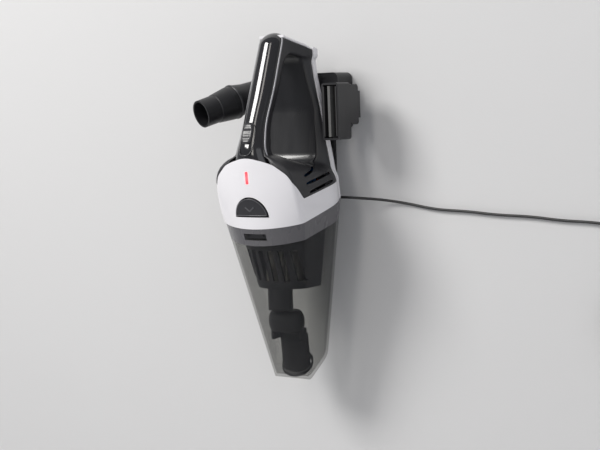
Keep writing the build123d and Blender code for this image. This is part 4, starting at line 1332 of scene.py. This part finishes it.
@dataclass
class Controls:
    """Thumb switch with its well, and the trims of the release button."""

    lean: float = 21.0
    middle: float = 271.6
    well_middle: float = 266.0
    skirt: float = 3.1

    def local(self, x: Array, along: Array, proud: Array, height: float) -> Array:
        """Points in the leaning frame of the grip's front: along runs up it and proud stands off it."""
        centre, _, half_depth = (float(k) for k in grip_sizes(np.array(height)))
        lean = radians(self.lean)
        depth = centre + half_depth + proud * cos(lean) - along * sin(lean)
        return to_row(x, depth, height + along * cos(lean) + proud * sin(lean))

    def slider(self, wardrobe: Wardrobe) -> None:
        """Thumb piece: a squarish oval with a dished top and five low ribs."""
        share = np.concatenate([[1.0, 1.0], np.cos(np.linspace(0.12, pi / 2, 34))])
        outline = round_outline(6.4, 11.4, 3.6, 96)
        x, along = outline[None, :, 0] * share[:, None], outline[None, :, 1] * share[:, None]
        crown = 2.6 * (1 - share[:, None] ** 7) ** 0.5 + 0.0 * x
        ribs = 0.32 * np.cos(along / 1.75) ** 2 * (share[:, None] < 0.86)
        dish = 0.9 * np.exp(-((along + 0.5) / 6.0) ** 2) * (1 - share[:, None] ** 4)
        proud = crown + ribs - dish
        proud[0] = -self.skirt
        loops = self.local(x, along, proud, self.middle)
        piece = Piece("thumb_switch")
        piece.add(*capped(loops[:-1]))
        thumb = piece.build(wardrobe[Paint.BUTTON], "power_switch", smooth=45.0)
        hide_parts("switch_slider")
        well = Piece("switch_well")
        path = round_outline(8.4, 18.0, 3.2, 96)
        ring = self.local(path[:, 0], path[:, 1], -0.03 * path[:, 0] ** 2 + 0.5, self.well_middle)
        closed_ring(well, ring, 0.55)
        frame_piece = well.build(wardrobe[Paint.BUTTON], "vacuum", smooth=50.0)

    def trims(self, wardrobe: Wardrobe) -> None:
        """Rounded rim of the half-moon button and its chevron."""
        piece = Piece("button_trim")
        x, height = half_moon_outline(-1.3)
        closed_ring(piece, self.on_dome(x, height, 0.75), 0.55)
        for mirror in (-1.0, 1.0):
            share = np.linspace(0, 1, 14)
            path = self.on_dome(mirror * 5.6 * share, 190.4 + 4.4 * share, 0.85)
            piece.add(*swept(path, round_outline(0.75, 0.55, 3.0, 14) * MM, np.array([0.0, -1.0, 0.0])))
        trim = piece.build(wardrobe[Paint.TRIM], "bin_release", smooth=50.0)

    def on_dome(self, x: Array, height: Array, proud: float) -> Array:
        """Points a little proud of the dome's bowed front."""
        front, corner_x, corner_d = section_at(DOME_ROWS, height)[:3]
        rise = front - corner_d
        radius = (corner_x**2 + rise**2) / (2 * rise)
        return to_row(x, front - radius + np.sqrt(radius**2 - x**2) + proud, height)

    def build(self, wardrobe: Wardrobe) -> None:
        """Make the switch and the button's trims."""
        self.slider(wardrobe)
        self.trims(wardrobe)
        LOG.info("controls built")


def closed_ring(piece: Piece, path: Array, radius: float, sides: int = 12) -> None:
    """Round bar along a closed path: circles square to it, joined end to end.

    Args:
        piece: The piece that takes the bar.
        path: Closed points of shape n, 3, in metres.
        radius: Radius in millimetres.
        sides: Points in each circle.
    """
    along = unit(np.roll(path, -1, axis=0) - np.roll(path, 1, axis=0))
    out = unit(path - path.mean(axis=0))
    first = unit(out - along * np.sum(out * along, axis=1, keepdims=True))
    second = np.cross(along, first)
    turn = np.linspace(0, 2 * pi, sides, endpoint=False)
    ring = np.cos(turn)[:, None] * first[:, None] + np.sin(turn)[:, None] * second[:, None]
    points = path[:, None] + ring * radius * MM
    rows, columns = points.shape[:2]
    wrapped = quads(rows + 1, columns, 0, True) % (rows * columns)
    piece.add(points, [wrapped])


# ================================================================= charger lead
@dataclass
class ChargerLead:
    """Lead from the cradle's strain relief, along the wall, into its coil and down to the adapter."""

    diameter: float = 0.003
    route: tuple = (
        (34.0, 23.0, 197.0), (47.0, 23.0, 197.0), (64.0, 16.5, 195.6), (82.0, 8.6, 193.8), (101.0, 3.8, 191.2),
        (120.0, 2.3, 188.2), (137.0, 2.2, 184.9), (156.0, 2.3, 182.6), (187.0, 2.2, 181.4), (222.0, 2.4, 178.0),
        (257.0, 2.2, 177.2), (292.0, 2.4, 173.4), (320.0, 2.4, 172.6), (345.0, 4.0, 170.4), (358.0, 5.0, 170.6),
    )
    tail: tuple = ((374.0, 9.0, 130.5), (368.6, 13.5, 121.0), (366.2, 17.2, 115.0), (366.0, 18.0, 110.0))
    centre: tuple = (366.0, 6.0, 153.0)
    coil_radius: float = 17.7
    turns: int = 10
    steps: int = 14
    length: float = 1.43

    def build(self, wardrobe: Wardrobe) -> None:
        x, depth, height = self.centre
        start, stop = radians(98.0), radians(-30.0)
        count = self.turns * self.steps
        k = np.arange(count + 1)
        turn = start - k * (2 * pi * self.turns + start - stop - 2 * pi) / count
        lane = np.array([-3.0, 0.0, 3.0, 3.0, 0.0, -3.0, -3.0, 0.0, 3.0, 1.5])
        layer = np.array([-1.6, -1.6, -1.6, 1.4, 1.4, 1.4, 1.8, 1.9, 1.9, 0.6])
        place = np.clip(k / self.steps - 0.5, 0, self.turns - 1)
        radius = self.coil_radius + np.interp(place, np.arange(self.turns), lane)
        out = depth + np.interp(place, np.arange(self.turns), layer)
        coil = to_row(x + radius * np.cos(turn), out, height + radius * np.sin(turn))
        ahead = to_row(*np.array(self.route).T)
        behind = to_row(*np.array(self.tail).T)
        points = np.concatenate([ahead, coil, behind])
        curve = bpy.data.curves.new("charger_lead", "CURVE")
        curve.dimensions = "3D"
        spline = curve.splines.new("NURBS")
        spline.points.add(len(points) - 1)
        spline.points.foreach_set("co", np.concatenate([points, np.ones((len(points), 1))], 1).ravel())
        spline.order_u = 3
        spline.use_endpoint_u = True
        spline.resolution_u = 8
        curve.bevel_depth = self.diameter / 2
        curve.bevel_resolution = 3
        curve.use_fill_caps = True
        curve.materials.append(wardrobe[Paint.LEAD])
        lead = bpy.data.objects.new("charger_lead", curve)
        bpy.context.scene.collection.objects.link(lead)
        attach(lead, "bracket")
        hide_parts("cord_run", "cord_tail", "cord_coil")
        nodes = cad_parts
        names = ("coil_tie", "power_adapter", "adapter_pins", "adapter_relief")
        tuple(points[0])
        [nodes[name] for name in names]
        LOG.info("lead built with %d points", len(points))


def main() -> None:
    """Build the studio, the lead and every sub-assembly in turn."""
    logging.basicConfig(level=logging.INFO, format="%(name)s: %(message)s")
    wardrobe = Wardrobe()
    studio = Studio()
    studio.camera()
    ChargerLead().build(wardrobe)
    studio.wall(wardrobe[Paint.WALL])
    studio.lights()
    for paint, nodes in NODE_PAINTS.items():
        for node in nodes:
            wardrobe.dress(node, paint)
    opening = Opening()
    FrontDome().build(wardrobe)
    SidePanels(opening).build(wardrobe)
    RearCasing().build(wardrobe)
    OpeningLiner(opening).build(wardrobe)
    Grip().build(wardrobe)
    Controls().build(wardrobe)


if __name__ == "__main__":
    main()
